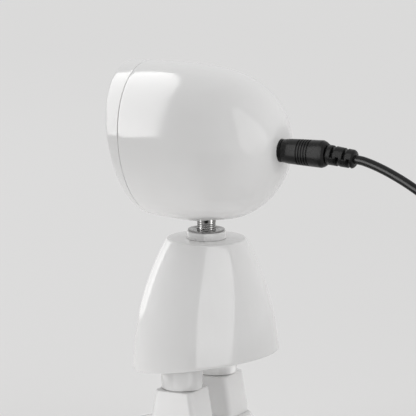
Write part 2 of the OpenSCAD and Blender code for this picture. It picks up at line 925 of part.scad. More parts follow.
// Light chips in two rings on the board
module led_chips() {
  chip = [2.8, 3.5, 0.8];
  color(opal)
    face_frame()
      translate([0, 0, -reflector_back]) {
        around(chip_count, board_r - 5) translate([-chip[0] / 2, -chip[1] / 2, 0]) cube(chip);
        around(chip_count / 2, board_r - 10) translate([-chip[0] / 2, -chip[1] / 2, 0]) cube(chip);
      }
}

// Metal plate behind the light board, with posts for the driver
module heat_spreader() {
  color(plated)
    face_frame() {
      translate([0, 0, -spreader_back])
        difference() {
          cylinder(r = board_r, h = spreader_t);
          around(board_screw_count, board_screw_at, board_screw_turn)
            translate([0, 0, -over]) cylinder(r = small_r + screw_fit, h = spreader_t + 2 * over);
        }
      for (x = [-1, 1], y = [-1, 1])
        translate([x * driver_post_x, y * driver_post_y, -driver_depth])
          cylinder(r = driver_post_r, h = driver_gap);
    }
}

// Screws through the spreader and board into the reflector's floor
module board_screws() {
  color(plated)
    face_frame()
      around(board_screw_count, board_screw_at, board_screw_turn)
        translate([0, 0, -spreader_back])
          screw(small_r, spreader_t + board_t, small_head_r, small_head_h);
}

// Driver board with its larger parts
module driver_board() {
  color(board_green)
    face_frame()
      translate([0, 0, -driver_depth - board_t]) {
        translate([-driver_w / 2, -driver_l / 2, 0]) cube([driver_w, driver_l, board_t]);
        translate([block_x, block_y, -block_h]) cube([block_w, block_w, block_h + board_t / 2]);
        translate([can_x, can_y, -can_h]) cylinder(r = can_r, h = can_h + board_t / 2);
        translate([chip_x, chip_y, -chip_h]) cube([chip_w, chip_l, chip_h + board_t / 2]);
      }
}

// Bush pressed into the head, with the wall that the stop washer's lug runs against
module swivel_bush() {
  wall_half = 180 - lug_half - swivel_limit - stop_play;
  color(rubber_grey)
    difference() {
      union() {
        translate([0, 0, bush_z]) cylinder(r = bush_r, h = bush_h + bush_flange_t);
        translate([0, 0, bush_rim_z]) cylinder(r = bush_flange_r, h = bush_flange_t);
        translate([0, 0, bush_rim_z + bush_flange_t / 2])
          rotate([0, 0, 90 - wall_half])
            rotate_extrude(angle = 2 * wall_half)
              translate([stop_wall_r, 0])
                square([stop_wall_t, bush_flange_t / 2 + stop_wall_h]);
      }
      translate([0, 0, bush_z - over])
        cylinder(d = journal_d + 2 * run_fit, h = bush_h + bush_flange_t + 2 * over);
    }
}

// Supply socket at the rear of the head
module dc_jack() {
  color(black)
    translate([0, jack_seat_y, jack_z])
      rotate([-90, 0, 0])
        difference() {
          union() {
            cylinder(d = jack_d, h = rear_y - jack_seat_y - 0.6);
            translate([0, 0, -jack_flange_t]) cylinder(r = jack_flange_r, h = jack_flange_t);
            translate([0, 0, -jack_flange_t - jack_body_l])
              cylinder(r = jack_d / 2 - 0.2, h = jack_body_l);
            for (y = [-2, 2])
              translate([-1, y - 0.3, -jack_flange_t - jack_body_l - 3]) cube([2, 0.6, 4]);
          }
          translate([0, 0, -jack_back]) cylinder(d = plug_bore, h = jack_back + 10);
        }
}

// Ring that holds the socket in its boss
module jack_nut() {
  color(plated)
    translate([0, jack_seat_y - jack_flange_t - jack_nut_t, jack_z])
      rotate([-90, 0, 0])
        difference() {
          cylinder(r = jack_flange_r + fit, h = jack_nut_t);
          translate([0, 0, -over]) cylinder(d = jack_d - 0.2, h = jack_nut_t + 2 * over);
        }
}

// Metal barrel of the plug, inside the socket
module plug_barrel() {
  color(plated)
    translate([0, rear_y, jack_z])
      rotate([90, 0, 0])
        difference() {
          cylinder(d = barrel_d, h = barrel_l);
          translate([0, 0, 1]) cylinder(d = 2.1, h = barrel_l);
        }
}

// Moulded plug with fine grip rings
module plug_body() {
  front_r = plug_d / 2;
  rear_r = plug_rear_d / 2;
  ring_from = 7;
  ring_step = 1.2;
  color(black)
    translate([0, rear_y, jack_z])
      rotate([-90, 0, 0])
        difference() {
          rotate_extrude()
            polygon([
              [0, 0], [front_r - 0.9, 0], [front_r, 0.9], [rear_r, plug_l - 2.2],
              [rear_r - 0.5, plug_l - 1], [relief_d / 2 + 0.3, plug_l], [0, plug_l]
            ]);
          for (i = [0 : 4])
            translate([0, 0, ring_from + ring_step * i])
              rotate_extrude()
                translate([rear_r - 0.75, 0]) square([2, 0.5]);
        }
}

// Slotted strain relief: slots from above and from below by turns, each round half of the core
module strain_relief() {
  top_slots = [2.1, 7.5];
  low_slots = [4.8, 9.8];
  slot_over = 0.4;
  color(black)
    translate(relief_start)
      rotate([-90 - relief_dip, 0, 0])
        difference() {
          rotate_extrude()
            polygon([
              [0, 0], [relief_d / 2, 0], [relief_d / 2 - 0.3, relief_l - 0.9],
              [relief_d / 2 - 1, relief_l], [0, relief_l]
            ]);
          for (s = top_slots)
            difference() {
              translate([-relief_d, -relief_d, s]) cube([2 * relief_d, relief_d + slot_over, relief_slot]);
              translate([0, 0, s - 1]) cylinder(d = relief_core_d, h = relief_slot + 2);
            }
          for (s = low_slots)
            difference() {
              translate([-relief_d, -slot_over, s]) cube([2 * relief_d, relief_d + slot_over, relief_slot]);
              translate([0, 0, s - 1]) cylinder(d = relief_core_d, h = relief_slot + 2);
            }
        }
}

// Cord from the strain relief to the switch
module cord_lead() {
  color(black) tube(smooth(lead_route, 2), cord_d / 2, 8, [1, 0, 0]);
}

// Outline of the switch body
module switch_outline(in) {
  translate([switch_x, switch_y]) rounded(switch_w - 2 * in, switch_l - 2 * in, 5 - in);
}

// Lower half of the switch body
module switch_lower() {
  color(black)
    difference() {
      linear_extrude(switch_mid_z) switch_outline(0);
      translate([0, 0, switch_wall])
        linear_extrude(switch_mid_z)
          translate([switch_x, switch_y]) rounded(switch_w - 5, switch_l - 18, 2);
      for (y = [-1, 1])
        translate([switch_x, switch_y + y * (switch_l / 2 - 5.5), -over]) {
          cylinder(r = small_r + screw_fit, h = switch_mid_z + 2 * over);
          cylinder(r = small_head_r + fit, h = small_head_h + over);
        }
    }
}

// Upper half of the switch body, with the rocker's window
module switch_upper() {
  color(black)
    difference() {
      translate([0, 0, switch_mid_z]) linear_extrude(switch_h - switch_mid_z) switch_outline(0);
      translate([switch_x, switch_y, switch_mid_z - over])
        linear_extrude(switch_h)
          square([rocker_w + 2 * rocker_play, rocker_l + 4 * rocker_play], center = true);
      translate([switch_x, switch_y, rocker_z])
        rotate([0, 90, 0]) cylinder(r = pin_r + screw_fit, h = rocker_w + 4, center = true);
      for (y = [-1, 1])
        translate([switch_x, switch_y + y * (switch_l / 2 - 5.5), switch_mid_z - over])
          cylinder(r = small_r + screw_fit, h = 4 + over);
    }
}

// Screws that close the switch
module switch_screws() {
  color(plated)
    for (y = [-1, 1])
      translate([switch_x, switch_y + y * (switch_l / 2 - 5.5), small_head_h])
        screw(small_r, switch_mid_z + 3 - small_head_h, small_head_r, small_head_h);
}

// Contact strips in the bottom of the switch
module switch_contacts() {
  color(brass_tone)
    for (y = [-1, 1])
      translate([switch_x - 2, switch_y + y * 7 - 4, switch_wall]) cube([4, 8, 0.6]);
}

// Pin that the rocker turns on
module rocker_pin() {
  color(plated)
    translate([switch_x, switch_y, rocker_z])
      rotate([0, 90, 0]) cylinder(r = pin_r, h = rocker_w + 3.6, center = true);
}

// Rocker, drawn in its off position
module switch_rocker() {
  half = rocker_l / 2;
  color(black)
    translate([switch_x, switch_y, rocker_z])
      rotate([-rocker_tilt, 0, 0])
        difference() {
          rotate([90, 0, 90])
            linear_extrude(rocker_w, center = true)
              polygon([
                [-half, 1.2], [-3, -2.4], [3, -2.4], [half, 1.2], [half, 3.4], [0, 2.6], [-half, 3.4]
              ]);
          rotate([0, 90, 0]) cylinder(r = pin_r + run_fit, h = 2 * rocker_w, center = true);
        }
}

// Cord from the switch to the coil
module cord_link() {
  color(black) tube(smooth(link_route, 2), cord_d / 2, 8, [0, 0, 1]);
}

// Stored coil, one unbroken tube with a straight end at each side
module cord_coil() {
  line = concat([coil_start - [cord_d, 0, 0]], coil_line, [coil_end + [0, cord_d, 0]]);
  color(black) tube(line, cord_d / 2, 6, [0, 0, 1]);
}

// Tie round the coil's turns, on the side away from the climb
module cord_tie() {
  play = 0.3;
  inner = coil_in_r + coil_step * 0.25 - cord_d / 2 - 2 * play;
  outer = coil_r - coil_step * 0.75 + cord_d / 2 + play;
  low = coil_lift - play + 0.1;
  high = coil_top_z + cord_d / 2 + play;
  color(black)
    translate([coil_x, coil_y - tie_w / 2, 0])
      difference() {
        translate([-outer - tie_t, 0, low - tie_t])
          cube([outer - inner + 2 * tie_t, tie_w, high - low + 2 * tie_t]);
        translate([-outer, -over, low]) cube([outer - inner, tie_w + 2 * over, high - low]);
      }
}

// Cord from the coil to the USB plug
module cord_tail() {
  color(black) tube(tail_route, cord_d / 2, 8, [0, 0, 1]);
}

// Moulded grip of the USB plug
module usb_body() {
  color(black)
    translate([usb_x, usb_y, usb_mid_z])
      rotate([-90, 0, 0])
        difference() {
          linear_extrude(usb_l) rounded(usb_w, usb_h, 2.4);
          for (i = [0 : 3], side = [-1, 1])
            translate([side * usb_w / 2, 0, 8 + 3 * i]) cube([1, usb_h - 5, 1.2], center = true);
          translate([0, 0, usb_l - 3])
            linear_extrude(3 + over) square([usb_shell_w + 2 * fit, usb_shell_h + 2 * fit], center = true);
        }
}

// Metal shell of the USB plug
module usb_shell() {
  color(plated)
    translate([usb_x, usb_shell_y - 3, usb_mid_z])
      rotate([-90, 0, 0])
        difference() {
          linear_extrude(usb_shell_l) square([usb_shell_w, usb_shell_h], center = true);
          translate([0, 0, 1])
            linear_extrude(usb_shell_l)
              square([usb_shell_w - 2 * usb_shell_wall, usb_shell_h - 2 * usb_shell_wall], center = true);
          for (x = [-1, 1])
            translate([x * 2.8, 0, 9.5]) cube([2.2, 2 * usb_shell_h, 2.2], center = true);
        }
}

// Contact tongue inside the USB shell
module usb_tongue() {
  color(white)
    translate([usb_x, usb_shell_y - 2, usb_mid_z])
      rotate([-90, 0, 0])
        translate([-usb_shell_w / 2 + usb_shell_wall + fit, -usb_shell_h / 2 + usb_shell_wall + fit, 0])
          cube([usb_shell_w - 2 * usb_shell_wall - 2 * fit, 1.7, usb_shell_l - 3]);
}

torso_shell();
torso_base();
base_screws();
neck_collar();
neck_flange();
neck_stem();
stem_nut();
friction_washer();
stop_washer();
lock_nut();
left_peg();
right_peg();
peg_screws();
left_leg();
right_leg();
left_shoe();
right_shoe();
left_sole();
right_sole();
foot_screws();
head_shell();
front_bezel();
diffuser();
reflector();
led_board();
led_chips();
heat_spreader();
board_screws();
driver_board();
swivel_bush();
dc_jack();
jack_nut();
plug_barrel();
plug_body();
strain_relief();
cord_lead();
switch_lower();
switch_upper();
switch_screws();
switch_contacts();
rocker_pin();
switch_rocker();
cord_link();
cord_coil();
cord_tie();
cord_tail();
usb_body();
usb_shell();
usb_tongue();
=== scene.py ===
import math
import bpy
import bmesh
from mathutils import Matrix, Vector


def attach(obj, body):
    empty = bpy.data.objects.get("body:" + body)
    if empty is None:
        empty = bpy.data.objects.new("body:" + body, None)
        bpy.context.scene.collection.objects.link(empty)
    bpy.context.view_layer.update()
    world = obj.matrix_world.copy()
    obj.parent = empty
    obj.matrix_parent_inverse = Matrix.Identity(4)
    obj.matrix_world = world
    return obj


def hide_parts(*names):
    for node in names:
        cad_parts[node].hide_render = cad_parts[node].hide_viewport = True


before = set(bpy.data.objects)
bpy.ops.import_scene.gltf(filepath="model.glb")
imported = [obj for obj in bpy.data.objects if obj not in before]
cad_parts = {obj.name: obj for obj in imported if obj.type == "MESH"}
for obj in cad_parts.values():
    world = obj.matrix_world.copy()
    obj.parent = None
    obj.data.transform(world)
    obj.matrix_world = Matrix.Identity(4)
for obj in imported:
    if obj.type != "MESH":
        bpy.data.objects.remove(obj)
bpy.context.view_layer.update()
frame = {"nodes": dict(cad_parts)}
mm = 0.001
tiny = 1e-9  # keeps a divisor from zero
scene = bpy.context.scene
scene.view_settings.view_transform = "Standard"

# Camera behind the figure's left side, a little above
cameraSet = {"turn": 27, "rise": 11, "distance": 1.5, "aim": (0, 0.00076, 0.1027), "lens": 309.06,
             "sensor": 36, "clipEnd": 50}


def makeCamera(s):
    turn, rise = math.radians(s["turn"]), math.radians(s["rise"])
    back = Vector((math.cos(turn) * math.cos(rise), math.sin(turn) * math.cos(rise), math.sin(rise)))
    data = bpy.data.cameras.new("camera")
    data.lens, data.sensor_width, data.clip_end = s["lens"], s["sensor"], s["clipEnd"]
    camera = bpy.data.objects.new("camera", data)
    camera.location = Vector(s["aim"]) + s["distance"] * back
    camera.rotation_euler = back.to_track_quat("Z", "Y").to_euler()
    scene.collection.objects.link(camera)
    scene.camera = camera


makeCamera(cameraSet)
print("camera in place")


# One wire holds a socket of a node tree; sums on wires add Math nodes
class Wire:
    def __init__(self, tree, socket=None):
        self.tree, self.socket = tree, socket

    def add(self, kind, settings=None, sockets=None, out=0):
        node = self.tree.nodes.new(kind)
        for key, value in (settings or {}).items():
            setattr(node, key, value)
        for key, value in (sockets or {}).items():
            if isinstance(value, Wire):
                self.tree.links.new(value.socket, node.inputs[key])
            else:
                node.inputs[key].default_value = value
        return Wire(self.tree, node.outputs[out] if len(node.outputs) else None)

    def other(self, name):  # another output of the same node
        return Wire(self.tree, self.socket.node.outputs[name])

    def sum(self, operation, a, b):
        return self.add("ShaderNodeMath", {"operation": operation}, {0: a, 1: b})

    def __add__(self, other):
        return self.sum("ADD", self, other)

    def __radd__(self, other):
        return self.sum("ADD", other, self)

    def __sub__(self, other):
        return self.sum("SUBTRACT", self, other)

    def __rsub__(self, other):
        return self.sum("SUBTRACT", other, self)

    def __mul__(self, other):
        return self.sum("MULTIPLY", self, other)

    def __rmul__(self, other):
        return self.sum("MULTIPLY", other, self)

    def __pow__(self, other):
        return self.sum("POWER", self, other)

    def __rpow__(self, other):
        return self.sum("POWER", other, self)


noiseMiddle = (0.35, 0.65)  # most of a noise lies between these


def noise(at, scale, detail, rough=0.5):
    return at.add("ShaderNodeTexNoise", {"noise_dimensions": "3D"},
                  {"Vector": at, "Scale": scale, "Detail": detail, "Roughness": rough})


def spread(value, start, end, low=0, high=1):  # low to high as value goes from start to end
    return value.add("ShaderNodeMapRange", {"clamp": True},
                     {"Value": value, "From Min": start, "From Max": end, "To Min": low, "To Max": high})


def between(value, low, high):  # low to high over a noise's middle
    return spread(value, *noiseMiddle, low, high)


def vectorMath(at, operation, other=(0, 0, 0), out=1):  # out 1 is a number, 0 a vector
    return at.add("ShaderNodeVectorMath", {"operation": operation}, {0: at, 1: other}, out=out)


def mixColour(factor, a, b):
    return factor.add("ShaderNodeMix", {"data_type": "RGBA"}, {"Factor": factor, 6: a, 7: b}, out=2)


def bump(height, strength, distance):
    return height.add("ShaderNodeBump", None, {"Height": height, "Strength": strength, "Distance": distance})


def grey(level, warm=0.0):
    return (level * (1 + warm), level, level * (1 - warm), 1)


def emptyTree(owner):  # of a material or the world
    owner.use_nodes = True
    owner.node_tree.nodes.clear()
    return Wire(owner.node_tree)


def newMaterial(name, build, fixed=None):
    material = bpy.data.materials.new(name)
    start = emptyTree(material)
    at = start.add("ShaderNodeTexCoord", out=3)
    shader = start.add("ShaderNodeBsdfPrincipled", None, {**(fixed or {}), **build(at)})
    start.add("ShaderNodeOutputMaterial", None, {"Surface": shader})
    return material


def clouded(at, s):  # a cloud between two tones and two roughnesses, over a fine grain
    cloud = noise(at, *s["cloud"])
    share = between(cloud, 0, 1) if "patchy" in s else cloud
    look = {"Base Color": mixColour(share, *s["tones"]), "Roughness": between(cloud, *s["rough"])}
    if "grain" in s:
        look["Normal"] = bump(noise(at, *s["grain"]), *s["relief"])
    return look


glossSet = {"cloud": (35, 2), "patchy": True, "tones": (grey(0.775, 0.006), grey(0.80, 0.004)),
            "rough": (0.07, 0.11), "grain": (900, 1), "relief": (0.12, 0.00001), "specks": (2600, 1),
            "speckRough": 0.02}


def glossWhite(at):  # injection-moulded white with a faint peel, wiped patches and specks
    s = glossSet
    look = clouded(at, s)
    look["Roughness"] = look["Roughness"] + between(noise(at, *s["specks"]), 0, 1) * s["speckRough"]
    return look


opalSet = {"cloud": (50, 2), "tones": ((0.84, 0.81, 0.74, 1), (0.9, 0.88, 0.82, 1)), "rough": (0.3, 0.4),
           "pebble": 900, "relief": (0.25, 0.00008)}


def opalSheet(at):  # frosted sheet with a fine pebble
    s = opalSet
    cell = at.add("ShaderNodeTexVoronoi", {"feature": "SMOOTH_F1"}, {"Vector": at, "Scale": s["pebble"]})
    return {**clouded(at, s), "Normal": bump(cell, *s["relief"])}


# Dark plating tones: painted shade in place of the dark surroundings that the chrome would mirror
platedSet = {"cloud": (180, 3), "tones": (grey(0.32, 0.01), grey(0.42, 0.01)), "rough": (0.08, 0.15),
             "turning": 900, "waver": 1.5, "detail": 2, "relief": (0.08, 0.00002)}


def platedSteel(at):  # plated, with faint turning marks; the dark tones are painted shade, standing in for the dark room that the chrome would mirror
    s = platedSet
    marks = at.add("ShaderNodeTexWave", {"wave_type": "BANDS", "bands_direction": "Z"},
                   {"Vector": at, "Scale": s["turning"], "Distortion": s["waver"], "Detail": s["detail"]})
    return {**clouded(at, s), "Normal": bump(marks, *s["relief"])}


boardSet = {"scale": 260, "offset": 0.5, "line": 0.03, "track": (0.05, 0.3, 0.13, 1), "cloud": (150, 3),
            "tones": ((0.02, 0.14, 0.06, 1), (0.025, 0.17, 0.075, 1)), "rough": (0.3, 0.45)}


def circuitGreen(at):
    s = boardSet
    tracks = at.add("ShaderNodeTexBrick", {"offset": s["offset"]},
                    {"Vector": at, "Scale": s["scale"], "Mortar Size": s["line"], "Mortar": s["track"],
                     "Color1": s["tones"][0], "Color2": s["tones"][1]})
    return {"Base Color": tracks, "Roughness": between(noise(at, *s["cloud"]), *s["rough"])}


# Finishes made of a cloud and, but for the brass, a grain; the blacks are rubbed in patches
metal = {"Metallic": 1.0}
plainSet = {
    "white_matt": {"name": "mattWhite", "cloud": (60, 3), "tones": (grey(0.72, 0.006), grey(0.8, 0.006)),
                   "rough": (0.42, 0.55), "grain": (2400, 2), "relief": (0.2, 0.00003)},
    "steel": {"name": "plainSteel", "cloud": (300, 4), "tones": (grey(0.42, 0.01), grey(0.58, 0.01)),
              "rough": (0.28, 0.42), "grain": (3000, 2), "relief": (0.12, 0.00002), "fixed": metal},
    "aluminium": {"name": "castAluminium", "cloud": (220, 4), "tones": (grey(0.6), grey(0.72)),
                  "rough": (0.35, 0.5), "grain": (2500, 3), "relief": (0.2, 0.00003), "fixed": metal},
    "brass": {"name": "springBrass", "cloud": (260, 4), "rough": (0.22, 0.36), "fixed": metal,
              "tones": ((0.55, 0.36, 0.12, 1), (0.7, 0.48, 0.18, 1))},
    "bush_grey": {"name": "bushGrey", "cloud": (120, 3), "tones": (grey(0.22), grey(0.3)),
                  "rough": (0.4, 0.55), "grain": (2000, 2), "relief": (0.15, 0.00003)},
    "sole_rubber": {"name": "soleRubber", "cloud": (90, 4), "tones": (grey(0.2), grey(0.27)),
                    "rough": (0.65, 0.85), "grain": (1800, 4), "relief": (0.5, 0.00006)},
    "black_plastic": {"name": "blackPlastic", "cloud": (170, 4, 0.6), "tones": (grey(0.006), grey(0.011)),
                      "patchy": True, "rough": (0.24, 0.34), "grain": (2800, 3), "relief": (0.25, 0.00004),
                      "fixed": {"Specular IOR Level": 0.25}},
    "black_pvc": {"name": "blackJacket", "cloud": (130, 4, 0.6), "tones": (grey(0.007), grey(0.012)),
                  "patchy": True, "rough": (0.18, 0.26), "grain": (1900, 2), "relief": (0.2, 0.00004),
                  "fixed": {"Specular IOR Level": 0.3}},
}
finishes = {
    "white_gloss": newMaterial("glossWhite", glossWhite, {"IOR": 1.5}),
    "opal": newMaterial("opalSheet", opalSheet, {"Subsurface Weight": 0.25, "Subsurface Scale": 0.002}),
    "plated": newMaterial("platedSteel", platedSteel, metal),
    "board_green": newMaterial("circuitGreen", circuitGreen),
}
for slot, finish in plainSet.items():
    finishes[slot] = newMaterial(finish["name"], lambda at: clouded(at, finish), finish.get("fixed"))
print("finishes made:", len(finishes))


def dress(piece, body, slot, *nodes):  # body, finish and the CAD nodes that the piece stands for
    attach(piece, body)
    piece.data.materials.clear()
    piece.data.materials.append(finishes[slot])
    if nodes:
        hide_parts(*nodes)
    return piece


def ease(t):  # 0 to 1, level at both ends
    t = max(0, min(1, t))
    return t * t * (3 - 2 * t)


def polar(r, angle, z, x=0, y=0):  # point about an upright axis at x, y
    return Vector((x + r * math.cos(angle), y + r * math.sin(angle), z))


# Cords, along the routes of the part's source
cordSet = {"thick": 3.8, "facets": 8, "plugRear": 56.048, "plugHeight": 130.0, "reliefGap": 0.4,
           "reliefLong": 12.2, "reliefDip": 5, "coilAt": (18, 78), "coilIn": 14, "coilStep": 4.4,
           "coilTurns": 4, "coilClimb": 0.5, "coilShort": 0.25, "coilLow": 2.9, "coilLayer": 4.4,
           "coilDip": 1, "perTurn": 48}
reliefDip = math.radians(cordSet["reliefDip"])
reliefWay = Vector((0, math.cos(reliefDip), -math.sin(reliefDip)))
reliefStart = Vector((0, cordSet["plugRear"] + cordSet["reliefGap"], cordSet["plugHeight"]))
reliefEnd = reliefStart + cordSet["reliefLong"] * reliefWay


def smoothRoute(points, steps):
    points = [Vector(p) for p in points]
    out = []
    for i in range(len(points) - 1):
        a, b = points[max(i - 1, 0)], points[i]
        c, d = points[i + 1], points[min(i + 2, len(points) - 1)]
        for k in range(steps):
            t = k / steps
            out.append(0.5 * (2 * b + (c - a) * t + (2 * a - 5 * b + 4 * c - d) * t ** 2
                              + (3 * b - a - 3 * c + d) * t ** 3))
    return out + [points[-1]]


def coilRoute(s):  # a layer inwards, a climb, and a layer outwards
    turns, climb = s["coilTurns"], s["coilClimb"]
    total = turns + climb + turns - s["coilShort"]
    outer = s["coilIn"] + turns * s["coilStep"]
    out = []
    for i in range(round(total * s["perTurn"]) + 1):
        t = i / s["perTurn"]
        if t < turns:
            r, rise = outer - s["coilStep"] * t, 0
        elif t < turns + climb:
            share = (t - turns) / climb
            r = s["coilIn"] - s["coilDip"] * math.sin(math.pi * share)
            rise = s["coilLayer"] * ease(share)
        else:
            r, rise = s["coilIn"] + s["coilStep"] * (t - turns - climb), s["coilLayer"]
        out.append(polar(r, 2 * math.pi * t - math.pi / 2, s["coilLow"] + rise, *s["coilAt"]))
    return out


def makeCord(name, points, s):
    curve = bpy.data.curves.new(name, "CURVE")
    curve.dimensions = "3D"
    curve.bevel_depth = 1  # each point's radius sets the size
    curve.bevel_resolution, curve.use_fill_caps = s["facets"], True
    spline = curve.splines.new("POLY")
    spline.points.add(len(points) - 1)
    for point, place in zip(spline.points, points):
        point.co = (*(place * mm), 1)
        point.radius = s["thick"] / 2 * mm
    spline.use_smooth = True
    cord = bpy.data.objects.new(name, curve)
    scene.collection.objects.link(cord)
    length = sum((b - a).length for a, b in zip(points, points[1:])) * mm
    print(name, "length", round(length, 4), "m")
    return cord, length


leadSag = ((4, -0.5), (8, -1.6), (12.8, -3.3), (17.5, -5.3), (22.9, -7.9), (28.7, -11.1))  # behind the relief
leadRoute = smoothRoute([
    reliefEnd, reliefEnd + 2 * reliefWay, *(reliefEnd + Vector((0, y, z)) for y, z in leadSag),
    (-1, 105.3, 112.6), (-3, 113.8, 105.2), (-6, 122, 95.6), (-10, 129.5, 84), (-15, 134.5, 70),
    (-20, 137, 55), (-25, 136.5, 40), (-28.5, 133, 26), (-30, 127, 14.5), (-30, 120, 7.4), (-30, 114, 5.2),
    (-30, 112, 5.2), (-30, 110, 5.2)], steps=8)
linkRoute = smoothRoute([
    (-30, 66, 5.2), (-30, 64, 5.2), (-30, 62, 5.2), (-29, 56.5, 4.8), (-25.5, 51, 4.2), (-19.5, 47.4, 3.5),
    (-12, 46.4, 3.1), (-2, 46.4, 2.9), (6, 46.4, 2.9), (14.2, 46.4, 2.9)], steps=6)
tailRoute = smoothRoute([
    (48.5, 81.8, 7.3), (48.5, 85.6, 7.3), (48.5, 88.5, 6.4), (48.5, 91.5, 5.2), (48.5, 94.5, 4.4),
    (48.5, 97, 4.2), (48.5, 100, 4.2)], steps=4)
cordLead, leadLength = makeCord("cordLead", leadRoute, cordSet)
cordStore, storeLength = makeCord("cordStore", linkRoute + coilRoute(cordSet) + tailRoute, cordSet)
dress(cordLead, "head", "black_pvc", "cord_lead")
dress(cordStore, "head", "black_pvc", "cord_link", "cord_coil", "cord_tail")


# Modelling helpers, in millimetres
def arc(middle, radius, start, end, steps):  # points of an arc in a profile, angles in degrees
    angles = [math.radians(start + (end - start) * i / steps) for i in range(steps + 1)]
    return [(middle[0] + radius * math.cos(a), middle[1] + radius * math.sin(a)) for a in angles]


def roundOff(edge, steps):  # quarter round from a side onto an end, as (inset, distance from the end)
    angles = [math.pi / 2 * i / steps for i in range(steps + 1)]
    return [(edge * (1 - math.cos(a)), edge * (1 - math.sin(a))) for a in angles]


def rounded(corners, steps=5):  # profile through corners of (across, along, rounding)
    out = []
    for i, (x, y, r) in enumerate(corners):
        here = Vector((x, y))
        if r == 0 or i in (0, len(corners) - 1):
            out.append((x, y))
            continue
        a = (Vector(corners[i - 1][:2]) - here).normalized()
        b = (Vector(corners[i + 1][:2]) - here).normalized()
        half = math.acos(max(-1, min(1, a.dot(b)))) / 2
        middle = here + (a + b).normalized() * (r / math.sin(half))
        start, end = here + a * (r / math.tan(half)) - middle, here + b * (r / math.tan(half)) - middle
        turn = start.angle_signed(end)
        for k in range(steps + 1):
            spoke = start.copy()
            spoke.rotate(Matrix.Rotation(-turn * k / steps, 2))
            out.append(tuple(middle + spoke))
    return out


def ringForm(rows, steps, place):
    # spins one bar of vertices into rings, then sets each ring where place(row, angle) says
    bm = bmesh.new()
    bar = [bm.verts.new((1, 0, k)) for k in range(len(rows))]
    edges = [bm.edges.new(pair) for pair in zip(bar, bar[1:])]
    bmesh.ops.spin(bm, geom=bar + edges, cent=(0, 0, 0), axis=(0, 0, 1), angle=2 * math.pi, steps=steps,
                   use_merge=True, use_duplicate=False)
    for v in bm.verts:
        v.co = place(rows[round(v.co.z)], math.atan2(v.co.y, v.co.x))
    return bm


def turned(profile, steps, at=Matrix.Identity(4)):  # plain turned form, its axis along Z before at
    return ringForm(profile, steps, lambda p, angle: at @ polar(p[0], angle, p[1]))


def rectRay(angle, halfX, halfY, corner):  # reach of a rounded rectangle from its middle
    c, s = abs(math.cos(angle)), abs(math.sin(angle))
    reach = min(halfX / max(c, tiny), halfY / max(s, tiny))
    inX, inY = halfX - corner, halfY - corner
    if corner > 0 and reach * c > inX and reach * s > inY:
        along = c * inX + s * inY
        reach = along + math.sqrt(max(0, along ** 2 - inX ** 2 - inY ** 2 + corner ** 2))
    return reach


meshSet = {"merge": 0.0005, "dissolve": 0.0002}


def newObject(name, bm):
    mesh = bpy.data.meshes.new(name)
    bm.to_mesh(mesh)
    bm.free()
    made = bpy.data.objects.new(name, mesh)
    scene.collection.objects.link(made)
    return made


def addPiece(name, bm, body, slot, *nodes):
    bmesh.ops.remove_doubles(bm, verts=bm.verts, dist=meshSet["merge"])
    bmesh.ops.dissolve_degenerate(bm, edges=bm.edges, dist=meshSet["dissolve"])
    bmesh.ops.recalc_face_normals(bm, faces=bm.faces)
    bmesh.ops.transform(bm, matrix=Matrix.Scale(mm, 4), verts=bm.verts)
    for face in bm.faces:
        face.smooth = True
    return dress(newObject(name, bm), body, slot, *nodes)


# Head: a turned helmet form cut by the leaning seam and rim planes
headSet = {"r": 33, "ahead": 5, "z": 130.4, "cap": 32, "shoulder": 78.594, "barrel": 283, "pitch": 2.9,
           "wall": 2, "seam": 19.3, "seamLean": 6.4, "rim": 24.4, "rimLean": 12.3, "gap": 0.18,
           "spigotIn": 2.1, "bezelIn": 3.5, "spigotReach": 5, "flatZ": 97.8, "under": 0.65, "underAt": 15,
           "underWide": 8, "openR": 26, "openUp": 0.7, "lip": 2.2, "seamEdge": 0.15, "rimEdge": 0.8,
           "lipEdge": 0.6, "holeR": 4.9, "holeZ": cordSet["plugHeight"], "dishR": 11.5, "dishDeep": 1.3,
           "steps": 180, "settle": 12, "capRows": 36, "capCrowd": 1.6, "rearRows": 24, "frontRows": 16,
           "insideRows": 8, "insideShares": (0.6, 0.3), "bezelRows": 8, "lipShares": (0.1, 0.5, 0.9)}
headPlace = Matrix.Translation((0, -headSet["ahead"], headSet["z"])) @ Matrix.Rotation(
    math.radians(-90 - headSet["pitch"]), 4, "X")
capAt = math.sqrt((headSet["shoulder"] - headSet["cap"]) ** 2 - (headSet["shoulder"] - headSet["r"]) ** 2)
capMiddle = headPlace @ Vector((0, 0, capAt))
headRear = -headSet["ahead"] + (capAt + headSet["cap"]) * math.cos(math.radians(headSet["pitch"]))


def capJoint(inset):
    return capAt + (headSet["cap"] - inset) * capAt / (headSet["shoulder"] - headSet["cap"])


def headRadius(along, inset):
    h = headSet
    if along >= capJoint(inset):
        return math.sqrt(max(0, (h["cap"] - inset) ** 2 - (along - capAt) ** 2))
    bow = h["shoulder"] if along >= 0 else h["barrel"]
    return h["r"] - bow + math.sqrt((bow - inset) ** 2 - along ** 2)


def headPoint(along, angle, inset):
    return headPlace @ polar(headRadius(along, inset), angle, along)


def alongToPlane(distance, lean, back, angle, inset):  # at a depth behind a leaning plane
    lean = math.radians(lean)
    facing = Vector((0, -math.cos(lean), -math.sin(lean)))
    origin = Vector((0, -headSet["ahead"] - distance, headSet["z"]))
    along = -distance
    for i in range(headSet["settle"]):
        along += facing.dot(headPoint(along, angle, inset) - origin) + back
    return along


def seamAlong(back, angle, inset):
    return alongToPlane(headSet["seam"], headSet["seamLean"], back, angle, inset)


def rimAlong(back, angle, inset):
    return alongToPlane(headSet["rim"], headSet["rimLean"], back, angle, inset)


